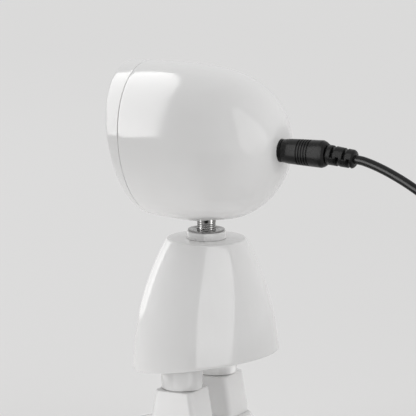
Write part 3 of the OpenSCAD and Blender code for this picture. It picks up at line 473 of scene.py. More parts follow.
def capPoint(angle, share, inset):  # from the socket's hole (0) to the cap's edge (1), on the ball of the cap
    h = headSet
    ball = h["cap"] - inset
    x, z = h["holeR"] * math.cos(angle), h["holeZ"] - capMiddle.z - h["holeR"] * math.sin(angle)
    hole = Vector((x, math.sqrt(ball ** 2 - x ** 2 - z ** 2), z)).normalized()
    edge = (headPoint(capJoint(inset), angle, inset) - capMiddle).normalized()
    point = capMiddle + ball * hole.lerp(edge, share).normalized()
    away = (math.hypot(point.x, point.z - h["holeZ"]) - h["holeR"]) / (h["dishR"] - h["holeR"])
    point.y -= h["dishDeep"] * (1 - ease(away))  # shallow dish round the socket
    return point


def headPlaceRow(row, angle):
    h = headSet
    kind, value, inset = row
    if kind == "cap":
        point = capPoint(angle, value, inset)
    elif kind == "along":
        point = headPoint(value, angle, inset)
    elif kind == "seam":
        point = headPoint(seamAlong(value, angle, inset), angle, inset)
    else:  # a share of the way from the widest place to the seam
        point = headPoint(value * seamAlong(h["seamEdge"], angle, inset), angle, inset)
    local = headPlace.inverted() @ point
    down = max(0, local.y / math.hypot(local.x, local.y))
    near = (local.z - h["underAt"]) / h["underWide"]
    point.z += h["under"] * down ** 2 * math.exp(-near ** 2)  # underside drawn in behind the neck
    if inset == 0:
        point.z = max(point.z, h["flatZ"])
    return point


def makeHeadShell():
    h = headSet
    wall, joint, innerJoint, inside = h["wall"], capJoint(0), capJoint(h["wall"]), h["insideRows"]
    rows = [("cap", (i / h["capRows"]) ** h["capCrowd"], 0) for i in range(h["capRows"])]
    rows += [("along", joint * (1 - i / h["rearRows"]), 0) for i in range(h["rearRows"])]
    rows += [("share", i / h["frontRows"], 0) for i in range(h["frontRows"])]
    rows += [("seam", off, inset) for inset, off in roundOff(h["seamEdge"], 4)]
    rows += [("seam", 0, wall), *(("share", t, wall) for t in h["insideShares"])]
    rows += [("along", innerJoint * i / inside, wall) for i in range(inside)]
    rows += [("cap", 1 - i / inside, wall) for i in range(inside + 1)]
    return ringForm(rows + rows[:1], h["steps"], headPlaceRow)


facePlace = Matrix.Translation((0, -headSet["ahead"] - headSet["rim"], headSet["z"])) @ Matrix.Rotation(
    math.radians(90 + headSet["rimLean"]), 4, "X") @ Matrix.Translation((0, headSet["openUp"], 0))


def bezelPlaceRow(row, angle):
    h = headSet
    kind, value, inset = row
    if kind == "seam":
        return headPoint(seamAlong(value, angle, inset), angle, inset)
    if kind == "rim":
        return headPoint(rimAlong(value, angle, inset), angle, inset)
    if kind == "skin":
        a, b = seamAlong(-h["gap"] - h["seamEdge"], angle, inset), rimAlong(h["rimEdge"], angle, inset)
        return headPoint(a + (b - a) * value, angle, inset)
    if kind == "open":  # on the opening's circle, at a depth behind the rim
        return facePlace @ Vector((inset * math.cos(angle), -inset * math.sin(angle), -value))
    onRim = headPoint(rimAlong(0, angle, h["rimEdge"]), angle, h["rimEdge"])
    onLip = bezelPlaceRow(("open", 0, h["openR"] + h["lipEdge"]), angle)
    return onRim.lerp(onLip, value)


def makeBezel():
    h = headSet
    rows = [("seam", h["spigotReach"], h["spigotIn"]), ("seam", -h["gap"], h["spigotIn"])]
    rows += [("seam", -h["gap"] - off, inset) for inset, off in roundOff(h["seamEdge"], 4)[::-1]]
    rows += [("skin", i / h["bezelRows"], 0) for i in range(1, h["bezelRows"])]
    rows += [("rim", off, inset) for inset, off in roundOff(h["rimEdge"], 6)]
    rows += [("lipFace", t, 0) for t in h["lipShares"]]
    rows += [("open", inset, h["openR"] + off) for inset, off in roundOff(h["lipEdge"], 5)]
    rows += [("open", h["lip"], h["openR"]), ("rim", h["lip"], h["bezelIn"]),
             ("seam", h["spigotReach"], h["bezelIn"])]
    return ringForm(rows + rows[:1], h["steps"], bezelPlaceRow)


diffuserSet = {"r": 27.6, "thick": 1.8, "dome": 1.6, "domeR": 25.9, "back": 4.0, "edge": 0.3, "rows": 24,
               "steps": 128}


def makeDiffuser(s):
    front = s["thick"] - s["back"]
    ball = (s["domeR"] ** 2 + s["dome"] ** 2) / (2 * s["dome"])
    dome = []
    for i in range(s["rows"] + 1):
        r = s["domeR"] * i / s["rows"]
        dome.append((r, front + s["dome"] - ball + math.sqrt(ball ** 2 - r ** 2)))
    rim = rounded([(s["domeR"], front, 0), (s["r"], front, s["edge"]), (s["r"], -s["back"], s["edge"]),
                   (0, -s["back"], 0)], 3)
    return turned(dome + rim[1:], s["steps"], facePlace)


addPiece("headShell", makeHeadShell(), "head", "white_gloss", "head_shell")
addPiece("frontBezel", makeBezel(), "head", "white_gloss", "front_bezel")
addPiece("diffuserDome", makeDiffuser(diffuserSet), "head", "opal", "diffuser")
print("head made")

# Torso: a bell with a flat top and a hem that rises to the rear
torsoSet = {"r": 31, "bow": 121, "bowZ": 33, "top": 90, "edge": 1.2, "flatR": 10, "hemZ": 37.855,
            "hemLean": 8.9, "wall": 2, "hemEdge": 0.5, "hemInside": 0.3, "holeR": 4.1, "settle": 8,
            "cornerRows": 8, "sideRows": 40, "insideRows": 12, "steps": 180}


def torsoRadius(z, inset=0):
    s = torsoSet
    return s["r"] - s["bow"] + math.sqrt((s["bow"] - inset) ** 2 - (z - s["bowZ"]) ** 2)


def hemHeight(angle, inset):
    s = torsoSet
    z = s["hemZ"]
    for i in range(s["settle"]):
        z = s["hemZ"] + torsoRadius(z, inset) * math.sin(angle) * math.tan(math.radians(s["hemLean"]))
    return z


def makeTorso():
    s = torsoSet
    edgeZ, topIn, wall, inside = s["top"] - s["edge"], s["top"] - s["wall"], s["wall"], s["hemInside"]
    out = math.sqrt((s["bow"] - s["edge"]) ** 2 - (edgeZ - s["bowZ"]) ** 2)
    lowest = math.degrees(math.atan2(edgeZ - s["bowZ"], out))
    corner = arc((out + s["r"] - s["bow"], edgeZ), s["edge"], 90, lowest, s["cornerRows"])
    start = corner[-1][1]
    rows = [("turn", r, z) for r, z in ((s["holeR"], s["top"]), (s["flatR"], s["top"]), *corner)]
    rows += [("side", i / s["sideRows"], 0) for i in range(1, s["sideRows"] + 1)]
    rows += [("hem", off, inset) for inset, off in roundOff(s["hemEdge"], 4)]
    rows += [("hem", 0, wall - inside), ("hem", inside, wall)]
    rows += [("side", 1 - i / s["insideRows"], wall) for i in range(1, s["insideRows"])]
    rows += [("turn", torsoRadius(topIn, wall), topIn), ("turn", s["holeR"], topIn)]

    def place(row, angle):
        kind, a, b = row
        if kind == "turn":
            return polar(a, angle, b)
        if kind == "side":
            low, high = hemHeight(angle, b) + s["hemEdge"], start if b == 0 else topIn
            z = high + (low - high) * a
        else:
            z = hemHeight(angle, b) + a
        return polar(torsoRadius(z, b), angle, z)

    return ringForm(rows + rows[:1], s["steps"], place)


addPiece("torsoBell", makeTorso(), "stand", "white_gloss", "torso_shell")

# Neck: white collar, plated flange, threaded stem with the journal that the head turns on
collarSet = {"hole": 4.1, "r": 8.2, "low": 90, "high": 93.1, "foot": 0.05, "edge": 0.5, "rows": 5,
             "steps": 128}
flangeSet = {"hole": 4.1, "r": 7.8, "low": 93.1, "high": 93.9, "foot": 0.2, "edge": 0.25, "rows": 4,
             "steps": 128}
stemSet = {"r": 4, "low": 82, "lowEdge": 0.6, "shoulder": 99.75, "edge": 0.3, "journalR": 3,
           "keyLow": 108.35, "keyStep": 0.01, "keyFlat": 2.5, "top": 113.85, "topEdge": 0.4, "pitch": 0.9,
           "perPitch": 8, "threadLow": 82.9, "threadHigh": 97.2, "threadShort": 0.3, "threadDeep": 0.16,
           "threadRun": 0.5, "threadSharp": 1.2, "steps": 96}


def makeNeckRing(s):
    rows = rounded([(s["hole"], s["low"], 0), (s["r"], s["low"], s["foot"]), (s["r"], s["high"], s["edge"]),
                    (s["hole"], s["high"], 0)], s["rows"])
    return turned(rows + rows[:1], s["steps"])


def makeStem(s):
    r, journal, step = s["r"], s["journalR"], s["pitch"] / s["perPitch"]
    count = round((s["threadHigh"] - s["threadLow"] - s["threadShort"]) / step)
    rows = [("plain", 0, s["low"]), ("plain", r - s["lowEdge"], s["low"]),
            ("plain", r, s["low"] + s["lowEdge"])]
    rows += [("thread", r, s["threadLow"] + i * step) for i in range(count)]
    rows += [("plain", r, s["threadHigh"]), ("plain", r, s["shoulder"] - s["edge"]),
             ("plain", r - s["edge"], s["shoulder"]), ("plain", journal, s["shoulder"]),
             ("plain", journal, s["keyLow"]), ("key", journal, s["keyLow"] + s["keyStep"]),
             ("key", journal, s["top"] - s["topEdge"]), ("key", journal - s["topEdge"], s["top"]),
             ("plain", 0, s["top"])]

    def place(row, angle):
        kind, r, z = row
        if kind == "thread":  # V thread that climbs one pitch a turn and runs out at both ends
            phase = (z / s["pitch"] - angle / (2 * math.pi)) % 1
            run = min(1, (z - s["threadLow"]) / s["threadRun"], (s["threadHigh"] - z) / s["threadRun"])
            r -= s["threadDeep"] * max(0, run) * (1 - abs(2 * phase - 1)) ** s["threadSharp"]
        if kind == "key" and math.sin(angle) < 0:
            r = min(r, s["keyFlat"] / max(tiny, -math.sin(angle)))
        return polar(r, angle, z)

    return ringForm(rows, s["steps"], place)


addPiece("neckCollar", makeNeckRing(collarSet), "stand", "white_gloss", "neck_collar")
addPiece("neckFlange", makeNeckRing(flangeSet), "stand", "plated", "neck_flange")
addPiece("neckStem", makeStem(stemSet), "stand", "plated", "neck_stem")
print("torso and neck made")

# Legs: round pegs that drop into tapered square shafts, on rounded shoes with rubber soles
legSet = {"x": 16, "y": -3.3, "top": 28.3, "cuff": 10.5, "topX": 9.0, "topY": 8.6, "baseX": 9.3,
          "baseY": 11.6, "corner": 2.6, "leastCorner": 0.5, "topEdge": 0.6, "cuffEdge": 0.3,
          "socketR": 7.6, "socketLow": 25.3, "socketRound": ((0.2, 0), (0.06, 0.06), (0, 0.2)),
          "tenonHalf": 7.5, "tenonLow": 9, "tenonEdge": 0.4, "rows": 15, "steps": 160}
pegSet = {"r": 7.4, "lowR": 8.6, "topR": 9.1, "spigotR": 5, "low": 17.3, "step": legSet["socketLow"],
          "foot": 28.42, "plate": 45.709, "spigotEdge": 0.6, "stepEdge": 0.4, "footEdge": 0.35,
          "steps": 128}


def makePeg(s, x, y):
    rows = rounded([(0, s["low"], 0), (s["spigotR"], s["low"], s["spigotEdge"]), (s["spigotR"], s["step"], 0),
                    (s["r"], s["step"], s["stepEdge"]), (s["r"], s["foot"], 0),
                    (s["lowR"], s["foot"], s["footEdge"]), (s["topR"], s["plate"], 0), (0, s["plate"], 0)])
    return turned(rows, s["steps"], Matrix.Translation((x, y, 0)))


def legReach(s, angle, share, inset=0):  # reach of the shaft from its axis, at a share of the way up
    halfX = s["baseX"] + (s["topX"] - s["baseX"]) * share - inset
    halfY = s["baseY"] + (s["topY"] - s["baseY"]) * share - inset
    return rectRay(angle, halfX, halfY, max(s["leastCorner"], s["corner"] - inset))


def makeLeg(s, x, y):
    count, foot, top = s["rows"], s["cuff"] + s["cuffEdge"], s["top"]
    span = top - s["topEdge"] - foot
    rows = [("middle", 0, 0, s["tenonLow"]), ("tenon", s["tenonEdge"], 0, s["tenonLow"]),
            ("tenon", 0, 0, s["tenonLow"] + s["tenonEdge"]), ("tenon", 0, 0, s["cuff"]),
            ("shaft", s["cuffEdge"], 0, s["cuff"])]
    rows += [("shaft", 0, i / count, foot + span * i / count) for i in range(count + 1)]
    rows += [("shaft", inset, 1, top - off) for inset, off in roundOff(s["topEdge"], 5)[1:]]
    rows += [("socket", wider, 0, top - off) for wider, off in s["socketRound"]]
    rows += [("socket", 0, 0, s["socketLow"]), ("middle", 0, 0, s["socketLow"])]

    def place(row, angle):
        kind, inset, share, z = row
        if kind == "shaft":
            r = legReach(s, angle, share, inset)
        elif kind == "tenon":
            r = rectRay(angle, s["tenonHalf"] - inset, s["tenonHalf"] - inset, s["corner"])
        else:
            r = s["socketR"] + inset if kind == "socket" else 0
        return polar(r, angle, z, x, y)

    return ringForm(rows, s["steps"], place)


shoeSet = {"half": 12.5, "front": -18.2, "back": 5.8, "low": 0.5, "edge": 0.7, "soleIn": 1.6, "soleDeep": 1.2,
           "soleEdge": 0.15, "welt": 4.5, "weltEdge": 0.3, "weltLap": 0.05, "upperIn": 0.4, "upperLow": 4,
           "high": 16.5, "rows": 36, "cuffX": 10.4, "cuffY": 12.7, "cuffCorner": 4, "cuffSoft": 0.8,
           "cuffFall": 0.9, "cuffReach": 3, "cuffTop": 0.25, "blend": 0.7, "frontFrom": 0.45,
           "well": ((0.3, 0), (3.1, -0.6), (3.2, -3.9)), "steps": 160}  # the well takes the leg's tenon


def shoeRay(angle, inset):  # reach of the round-ended outline from the leg's axis
    s = shoeSet
    r, c, d = s["half"] - inset, math.cos(angle), math.sin(angle)
    reach = r / max(abs(c), tiny)
    if s["front"] <= reach * d <= s["back"]:
        return reach
    end = s["back"] if d > 0 else s["front"]
    return d * end + math.sqrt(max(0, (d * end) ** 2 - end ** 2 + r ** 2))


def makeShoe(s, leg, x, y):
    soleIn, soleEdge = s["soleIn"], s["soleEdge"]
    rows = [("middle", 0, s["soleDeep"]), ("out", soleIn + soleEdge, s["soleDeep"]),
            ("out", soleIn, s["soleDeep"] - soleEdge), ("out", soleIn, s["low"] + soleEdge),
            ("out", soleIn - soleEdge, s["low"])]
    rows += [("out", inset, s["low"] + off) for inset, off in roundOff(s["edge"], 5)[::-1]]
    rows += [("out", inset, s["welt"] - off) for inset, off in roundOff(s["weltEdge"], 4)]
    rows += [("upper", i / s["rows"], 0) for i in range(s["rows"] + 1)]
    rows += [("leg", inset, down) for inset, down in s["well"]] + [("middle", 0, leg["tenonLow"])]

    def upper(angle, share):  # from the welt up over the dome and cuff to the leg
        full, stop = shoeRay(angle, s["upperIn"]), legReach(leg, angle, 0)
        steep = math.acos(min(1, stop / full)) * share
        r, z = full * math.cos(steep), s["upperLow"] + (s["high"] - s["upperLow"]) * math.sin(steep)
        z = max(z, s["welt"] - s["weltLap"])
        over = r - (rectRay(angle, s["cuffX"], s["cuffY"], s["cuffCorner"]) - s["cuffSoft"])
        lift = leg["cuff"] - s["cuffFall"] * max(0, over) ** 2 if over < s["cuffReach"] else 0
        near = max(s["blend"] - abs(z - lift), 0) / s["blend"]
        z = max(z, lift) + near * near * s["blend"] / 4
        return r, z if -math.sin(angle) > s["frontFrom"] else min(z, leg["cuff"] + s["cuffTop"])

    def place(row, angle):
        kind, a, b = row
        if kind == "middle":
            r, z = a, b
        elif kind == "out":
            r, z = shoeRay(angle, a), b
        elif kind == "upper":
            r, z = upper(angle, a)
        else:
            r = legReach(leg, angle, 0, a)
            z = leg["cuff"] + b if b else min(upper(angle, 1)[1], leg["cuff"])
        return polar(r, angle, z, x, y)

    return ringForm(rows, s["steps"], place)


soleSet = {"inset": 1.7, "thick": 1.2, "edge": 0.3, "groove": 0.35, "pitch": 3.2, "land": 0.55, "steep": 4,
           "tread": (0.03, 0.93), "rows": 40, "steps": 160}


def makeSole(s, x, y):
    rows = [("low", i / s["rows"]) for i in range(s["rows"] + 1)]
    rows += [("side", s["edge"]), ("side", s["thick"]), ("high", s["thick"])]

    def place(row, angle):
        kind, a = row
        full = shoeRay(angle, s["inset"])
        if kind != "low":
            return polar(full if kind == "side" else 0, angle, a, x, y)
        r, z = (full - s["edge"]) * a, 0
        if s["tread"][0] < a < s["tread"][1]:  # cross grooves under the sole
            wave = math.cos(2 * math.pi * r * math.sin(angle) / s["pitch"])
            z = s["groove"] * max(0, min(1, (wave - s["land"]) * s["steep"]))
        return polar(r, angle, z, x, y)

    return ringForm(rows, s["steps"], place)


for side, x in (("left", legSet["x"]), ("right", -legSet["x"])):
    y = legSet["y"]
    addPiece(side + "Peg", makePeg(pegSet, x, y), "stand", "white_gloss", side + "_peg")
    addPiece(side + "Leg", makeLeg(legSet, x, y), "stand", "white_gloss", side + "_leg")
    addPiece(side + "Shoe", makeShoe(shoeSet, legSet, x, y), "stand", "white_gloss", side + "_shoe")
    addPiece(side + "Sole", makeSole(soleSet, x, y), "stand", "sole_rubber", side + "_sole")
print("legs and shoes made")

# Plug with grip rings, and the slotted strain relief behind it
plugSet = {"z": cordSet["plugHeight"], "long": 19.5, "nose": 0.45, "noseR": 4.8, "noseEdge": 0.35,
           "frontR": 5.2, "frontAt": 2.4, "frontEdge": 2, "taperFrom": 0.9, "ringFrom": 7,
           "ringStep": 1.2, "rings": 5, "ringWide": 0.5, "ringDeep": 0.55, "ringEdge": 0.12,
           "ringRoot": 0.1, "rearR": 5.75, "rearLong": 2.2, "rearEdge": 0.7, "stepIn": 0.5, "stepLong": 1,
           "stepEdge": 0.6, "neckR": 4.5, "neckEdge": 0.4, "steps": 96}
reliefSet = {"long": cordSet["reliefLong"], "r": 4.2, "taper": 0.3, "core": 2.3, "slot": 1.3,
             "top": (2.1, 7.5), "low": (4.8, 9.8), "over": 0.4, "soft": 0.5, "edge": 0.2, "edgeMid": 0.06,
             "floorEdge": 0.1, "tipR": 3.2, "tipLong": 0.9, "tipEdge": (0.35, 0.3), "steps": 160}


def makePlug(s):
    rearAt = s["long"] - s["rearLong"]
    slope = (s["rearR"] - s["frontR"]) / (rearAt - s["taperFrom"])
    corners = [(0, -s["nose"], 0), (s["noseR"], -s["nose"], s["noseEdge"]),
               (s["frontR"], s["frontAt"], s["frontEdge"])]
    for i in range(s["rings"]):
        low = s["ringFrom"] + s["ringStep"] * i
        high = low + s["ringWide"]
        for along, deep, r in ((low, 0, s["ringEdge"]), (low, s["ringDeep"], s["ringRoot"]),
                               (high, s["ringDeep"], s["ringRoot"]), (high, 0, s["ringEdge"])):
            corners.append((s["frontR"] + slope * (along - s["taperFrom"]) - deep, along, r))
    corners += [(s["rearR"], rearAt, s["rearEdge"]),
                (s["rearR"] - s["stepIn"], s["long"] - s["stepLong"], s["stepEdge"]),
                (s["neckR"], s["long"], s["neckEdge"]), (0, s["long"], 0)]
    at = Matrix.Translation((0, headRear, s["z"])) @ Matrix.Rotation(math.radians(-90), 4, "X")
    return turned(rounded(corners, 4), s["steps"], at)


def makeRelief(s):
    cuts = sorted([(low, -1) for low in s["top"]] + [(low, 1) for low in s["low"]])
    edge, mid, floor, full = s["edge"], s["edgeMid"], s["floorEdge"], s["r"]
    tipOut, tipBack = s["tipEdge"]
    rows = [("end", 0, 0, 0), ("end", s["r"] - edge, 0, 0), ("skin", 0, edge, 0)]
    for low, way in cuts:
        high = low + s["slot"]
        rows += [("skin", 0, low - edge, 0), ("skin", mid, low - mid, way), ("skin", edge, low, way),
                 ("skin", full, low + floor, way), ("skin", full, high - floor, way),
                 ("skin", edge, high, way), ("skin", mid, high + mid, way), ("skin", 0, high + edge, 0)]
    rows += [("skin", 0, s["long"] - s["tipLong"], 0), ("end", s["tipR"] + tipOut, s["long"] - tipBack, 0),
             ("end", s["tipR"], s["long"], 0), ("end", 0, s["long"], 0)]
    at = Matrix.Translation(reliefStart) @ Matrix.Rotation(math.radians(-90 - cordSet["reliefDip"]), 4, "X")

    def place(row, angle):
        kind, size, along, way = row
        r = size if kind == "end" else s["r"] - s["taper"] * along / s["long"]
        if way:  # the slot runs round one half, down to the core, and ends softly
            turn = math.sin(angle) * way * s["r"] + s["over"]
            r -= min(size, r - s["core"]) * ease(turn / s["soft"])
        return at @ polar(r, angle, along)

    return ringForm(rows, s["steps"], place)


addPiece("plugBody", makePlug(plugSet), "head", "black_plastic", "plug_body")
addPiece("strainRelief", makeRelief(reliefSet), "head", "black_plastic", "strain_relief")

# In-line switch: two halves, a rocker in a window
switchSet = {"x": -30, "y": 88, "halfX": 8, "halfY": 22, "corner": 5, "leastCorner": 0.5, "mid": 5.2,
             "lap": 0.05, "high": 10.4, "edge": 1.2, "seam": 0.25, "windowX": 4.3, "windowY": 9.5,
             "windowCorner": 0.6, "windowRound": ((0.4, 0), (0.12, 0.12), (0, 0.4)), "wellZ": 5.6,
             "wellFlare": 1.2, "wellIn": 0.5, "floor": 3.2, "steps": 200}
rockerSet = {"z": 7.2, "tilt": 8, "wide": 7.6, "edge": 0.45,
             "outline": ((-8.5, 1.2), (-3, -2.4), (3, -2.4), (8.5, 1.2), (8.5, 3.4), (0, 2.6), (-8.5, 3.4))}


def switchHalf(s, rows):
    def place(row, angle):
        kind, inset, z = row
        if kind == "body":
            corner = max(s["leastCorner"], s["corner"] - inset)
            r = rectRay(angle, s["halfX"] - inset, s["halfY"] - inset, corner)
        elif kind == "window":
            r = rectRay(angle, s["windowX"] + inset, s["windowY"] + inset, s["windowCorner"])
        else:
            r = 0
        return polar(r, angle, z, s["x"], s["y"])

    return ringForm(rows, s["steps"], place)


def makeSwitch(s):
    outer, seam = roundOff(s["edge"], 5), roundOff(s["seam"], 5)
    below, above = s["mid"] - s["lap"], s["mid"] + s["lap"]
    lower = [("middle", 0, 0)]
    lower += [("body", inset, off) for inset, off in outer[::-1]]
    lower += [("body", inset, below - off) for inset, off in seam[::2]]
    lower += [("window", s["wellIn"], below), ("window", s["wellIn"], s["floor"]), ("middle", 0, s["floor"])]
    upper = [("window", 0, s["wellZ"]), ("window", s["wellFlare"], above)]
    upper += [("body", inset, above + off) for inset, off in seam[::-2]]
    upper += [("body", inset, s["high"] - off) for inset, off in outer]
    upper += [("window", wider, s["high"] - off) for wider, off in s["windowRound"]]
    return switchHalf(s, lower), switchHalf(s, upper + upper[:1])


def makeRocker(s, x, y):
    bm = bmesh.new()
    side = bm.faces.new([bm.verts.new((-s["wide"] / 2, y, z)) for y, z in s["outline"]])
    pushed = bmesh.ops.extrude_face_region(bm, geom=[side])["geom"]
    moved = [g for g in pushed if isinstance(g, bmesh.types.BMVert)]
    bmesh.ops.translate(bm, vec=(s["wide"], 0, 0), verts=moved)
    bmesh.ops.recalc_face_normals(bm, faces=bm.faces)
    bmesh.ops.bevel(bm, geom=list(bm.edges), offset=s["edge"], segments=3, profile=0.5, affect="EDGES",
                    material=-1)
    place = Matrix.Translation((x, y, s["z"])) @ Matrix.Rotation(math.radians(-s["tilt"]), 4, "X")
    bmesh.ops.transform(bm, matrix=place, verts=bm.verts)
    return bm


switchLow, switchHigh = makeSwitch(switchSet)
switchBase = addPiece("switchBase", switchLow, "head", "black_plastic", "switch_lower")
switchCover = addPiece("switchCover", switchHigh, "head", "black_plastic", "switch_upper")
rockerForm = makeRocker(rockerSet, switchSet["x"], switchSet["y"])
rocker = addPiece("rocker", rockerForm, "rocker", "black_plastic", "switch_rocker")

# Tie round the coil, and the moulded grip of the flat plug
tieSet = {"x": (-13.3, 6.2), "y": (75, 81), "z": (0, 10.3), "thick": 0.8, "corner": 2.2, "edge": 0.25,
          "steps": 128}
gripSet = {"x": 48.5, "y": 100, "z": 4.2, "long": 30, "halfX": 8, "halfZ": 4.2, "corner": 2.4,
           "edge": 0.9, "mouthX": 6.1, "mouthZ": 2.35, "mouthDeep": 3, "mouthEdge": 0.25,
           "mouthCorner": 0.3, "grooves": (8, 11, 14, 17), "grooveWide": 1.2, "grooveDeep": 0.5,
           "grooveEdge": 0.2, "grooveMid": 0.3, "steps": 160}


def makeTie(s):
    midX, midZ = sum(s["x"]) / 2, sum(s["z"]) / 2
    halfX, halfZ = (s["x"][1] - s["x"][0]) / 2, (s["z"][1] - s["z"][0]) / 2
    edge, thick, (front, back) = s["edge"], s["thick"], s["y"]
    rows = [(0, front + edge), (0, back - edge), (edge, back), (thick - edge, back), (thick, back - edge),
            (thick, front + edge), (thick - edge, front), (edge, front)]

    def place(row, angle):
        inset, y = row
        r = rectRay(angle, halfX - inset, halfZ - inset, s["corner"] - inset)
        return Vector((midX + r * math.cos(angle), y, midZ + r * math.sin(angle)))

    return ringForm(rows + rows[:1], s["steps"], place)


def makeGrip(s):
    end, half, edge = s["long"], s["grooveWide"] / 2, s["grooveEdge"]
    rows = [("middle", 0, 0)]
    rows += [("skin", inset, off) for inset, off in roundOff(s["edge"], 5)[::-1]]
    for along in s["grooves"]:
        low, high, deep, mid = along - half, along + half, s["grooveDeep"], s["grooveMid"]
        rows += [("skin", 0, low - edge), ("groove", mid, low), ("groove", deep, low + edge),
                 ("groove", deep, high - edge), ("groove", mid, high), ("skin", 0, high + edge)]
    rows += [("skin", inset, end - off) for inset, off in roundOff(s["edge"], 5)]
    rows += [("mouth", s["mouthEdge"], end), ("mouth", 0, end - s["mouthEdge"]),
             ("mouth", 0, end - s["mouthDeep"]), ("middle", 0, end - s["mouthDeep"])]

    def place(row, angle):
        kind, inset, along = row
        skin = inset if kind == "skin" else 0
        if kind == "middle":
            r = 0
        elif kind == "mouth":
            r = rectRay(angle, s["mouthX"] + inset, s["mouthZ"] + inset, s["mouthCorner"])
        else:
            r = rectRay(angle, s["halfX"] - skin, s["halfZ"] - skin, s["corner"] - skin)
        x, z = r * math.cos(angle), r * math.sin(angle)
        if kind == "groove" and abs(z) < s["halfZ"] - s["corner"]:  # on the flat sides only
            x = math.copysign(min(abs(x), s["halfX"] - inset), x)
        return Vector((s["x"] + x, s["y"] + along, s["z"] + z))

    return ringForm(rows, s["steps"], place)


cordTie = addPiece("cordTie", makeTie(tieSet), "head", "black_plastic", "cord_tie")
usbGrip = addPiece("usbGrip", makeGrip(gripSet), "head", "black_plastic", "usb_body")
print("plug, switch and coil fittings made")

nodes = frame["nodes"]
tuple(linkRoute[0] * mm)

# CAD nodes that stay as they are, with a finish of their own
keptNodes = {
    "steel": ("base_screws", "stem_nut", "friction_washer", "stop_washer", "lock_nut", "peg_screws",
              "foot_screws", "board_screws", "jack_nut", "switch_screws", "rocker_pin"),
    "white_matt": ("torso_base", "reflector", "led_board"),
    "black_plastic": ("dc_jack", "usb_tongue"),
    "plated": ("plug_barrel", "usb_shell"),
    "opal": ("led_chips",),
    "aluminium": ("heat_spreader",),
    "board_green": ("driver_board",),
    "bush_grey": ("swivel_bush",),
    "brass": ("switch_contacts",),
}
for slot, names in keptNodes.items():
    for name in names:
        nodes[name].data.materials.clear()
        nodes[name].data.materials.append(finishes[slot])
print("kept nodes dressed:", sum(len(names) for names in keptNodes.values()))

# Pale floor, one wide key, a soft sky, and cards that only the pieces they name mirror
floorSet = {"half": 6, "tiles": 8, "tone": 0.9, "mottle": 0.01, "cloud": (3, 2), "warm": 0.004,
            "shown": 0.545, "shownWarm": 0.006, "farther": 1.15, "fartherFrom": (0.5, 1.5), "keep": 0.5,
            "mirrored": 0.5, "cameraWay": (0.914, 0.407, 0), "dim": 0.92, "dimFrom": (0.84, 0.96),
            "behind": 1.3, "behindFrom": (-0.98, -0.55), "lift": 0.04, "pool": 0.47, "poolWide": 0.12,
            "poolAt": (0.02, -0.09, 0)}
keySet = {"aim": (0, 0, 0.12), "way": (0.08, -0.84, 0.54), "across": (1, 0, 0), "far": 0.7,
          "size": (1.6, 0.7), "glow": 0.44}
worldSet = {"horizon": 0.41, "zenith": 0.65, "zenithFrom": 0.9, "ends": 2.0, "side": -0.75, "sheen": 0.66}


def oblong(left, right, low, high):
    return ((left, low), (right, low), (right, high), (left, high))


fadeLeast = 0.12  # glow of a fading card's dim side, as a share
cardWarm = 0.004
cardSet = {  # upright cards: the way they stand from the neck, how far, and their corners, in millimetres
    "headKey": {"way": (0, -1, 0), "far": 250, "glow": 4.05, "lower": (165, 620, 0.4),
                "on": ("headShell", "frontBezel"),
                "corners": ((-108, 429), (-195, 502), (-256, 559), (-263, 588), (-199, 660), (-74, 728),
                            (25, 722), (133, 700), (345, 582), (466, 393), (502, 256), (387, 178),
                            (284, 165))},
    "headRear": {"way": (0, 1, 0), "far": 300, "glow": 1.2, "on": ("headShell",),
                 "corners": ((-94, 719), (-29, 633), (13, 408), (49, 308), (90, 241), (90, 180), (89, 143),
                             (52, 105), (-7, 86), (-115, 110), (-165, 173), (-172, 244), (-167, 364),
                             (-139, 550))},
    "torsoSide": {"way": (0.8, 0.6, 0), "far": 250, "glow": 2.3, "on": ("torsoBell", "neckCollar"),
                  "corners": ((-118, 1), (-114, 144), (-45, 299), (-20, 360), (390, 360), (216, 141),
                              (130, 27), (112, 1))},
    "torsoStrip": {"way": (-0.57, -0.82, 0), "far": 300, "glow": 3.2, "fade": (-80, 175, 3),
                   "on": ("torsoBell", "neckCollar"),
                   "corners": ((175, 330), (175, 230), (164, 176), (150, 130), (142, 84), (125, 50), (80, 29),
                               (-47, 5), (-80, 5), (-80, 110), (-40, 180), (0, 330))},
    "plugShine": {"way": (1, 0, 0), "far": 120, "glow": 2.1, "on": ("plugBody",),
                  "corners": oblong(-150, 150, 60, 500)},
    "reliefShine": {"way": (1, 0, 0), "far": 130, "glow": 1.3, "on": ("strainRelief", "dc_jack"),
                    "corners": oblong(-150, 150, 90, 500)},
    "cordShine": {"way": (1, 0, 0), "far": 190, "glow": 4.6, "on": ("cordLead",),
                  "corners": oblong(-240, 240, 66, 230)},
    "legFace": {"way": (0.89, -0.456, 0), "far": 75, "glow": 2.6, "on": ("leftLeg",),
                "corners": oblong(-45, 45, 1, 45)},
    "pegStrip": {"way": (0, -1, 0), "far": 200, "glow": 2.0, "fade": (-390, 130, 2),
                 "on": ("leftPeg", "rightPeg"), "corners": oblong(-390, 130, 1, 220)},
    "pegRear": {"way": (-0.5, 0.866, 0), "far": 85, "glow": 2.2, "on": ("rightPeg",),
                "corners": oblong(-70, 70, 1, 60)},
    "pegFill": {"way": (0.89, 0.456, 0), "far": 75, "glow": 1.3, "on": ("leftPeg", "rightPeg"),
                "corners": oblong(-80, 80, 1, 60)},
    "stemFront": {"way": (0.63, -0.78, 0), "far": 300, "glow": 4.0, "on": ("neckStem",),
                  "corners": oblong(-55, 55, 1, 300)},
    "stemRear": {"way": (0, 1, 0), "far": 300, "glow": 4.0, "on": ("neckStem",),
                 "corners": oblong(-50, 60, 1, 300)},
}
upward = Vector((0, 0, 1))


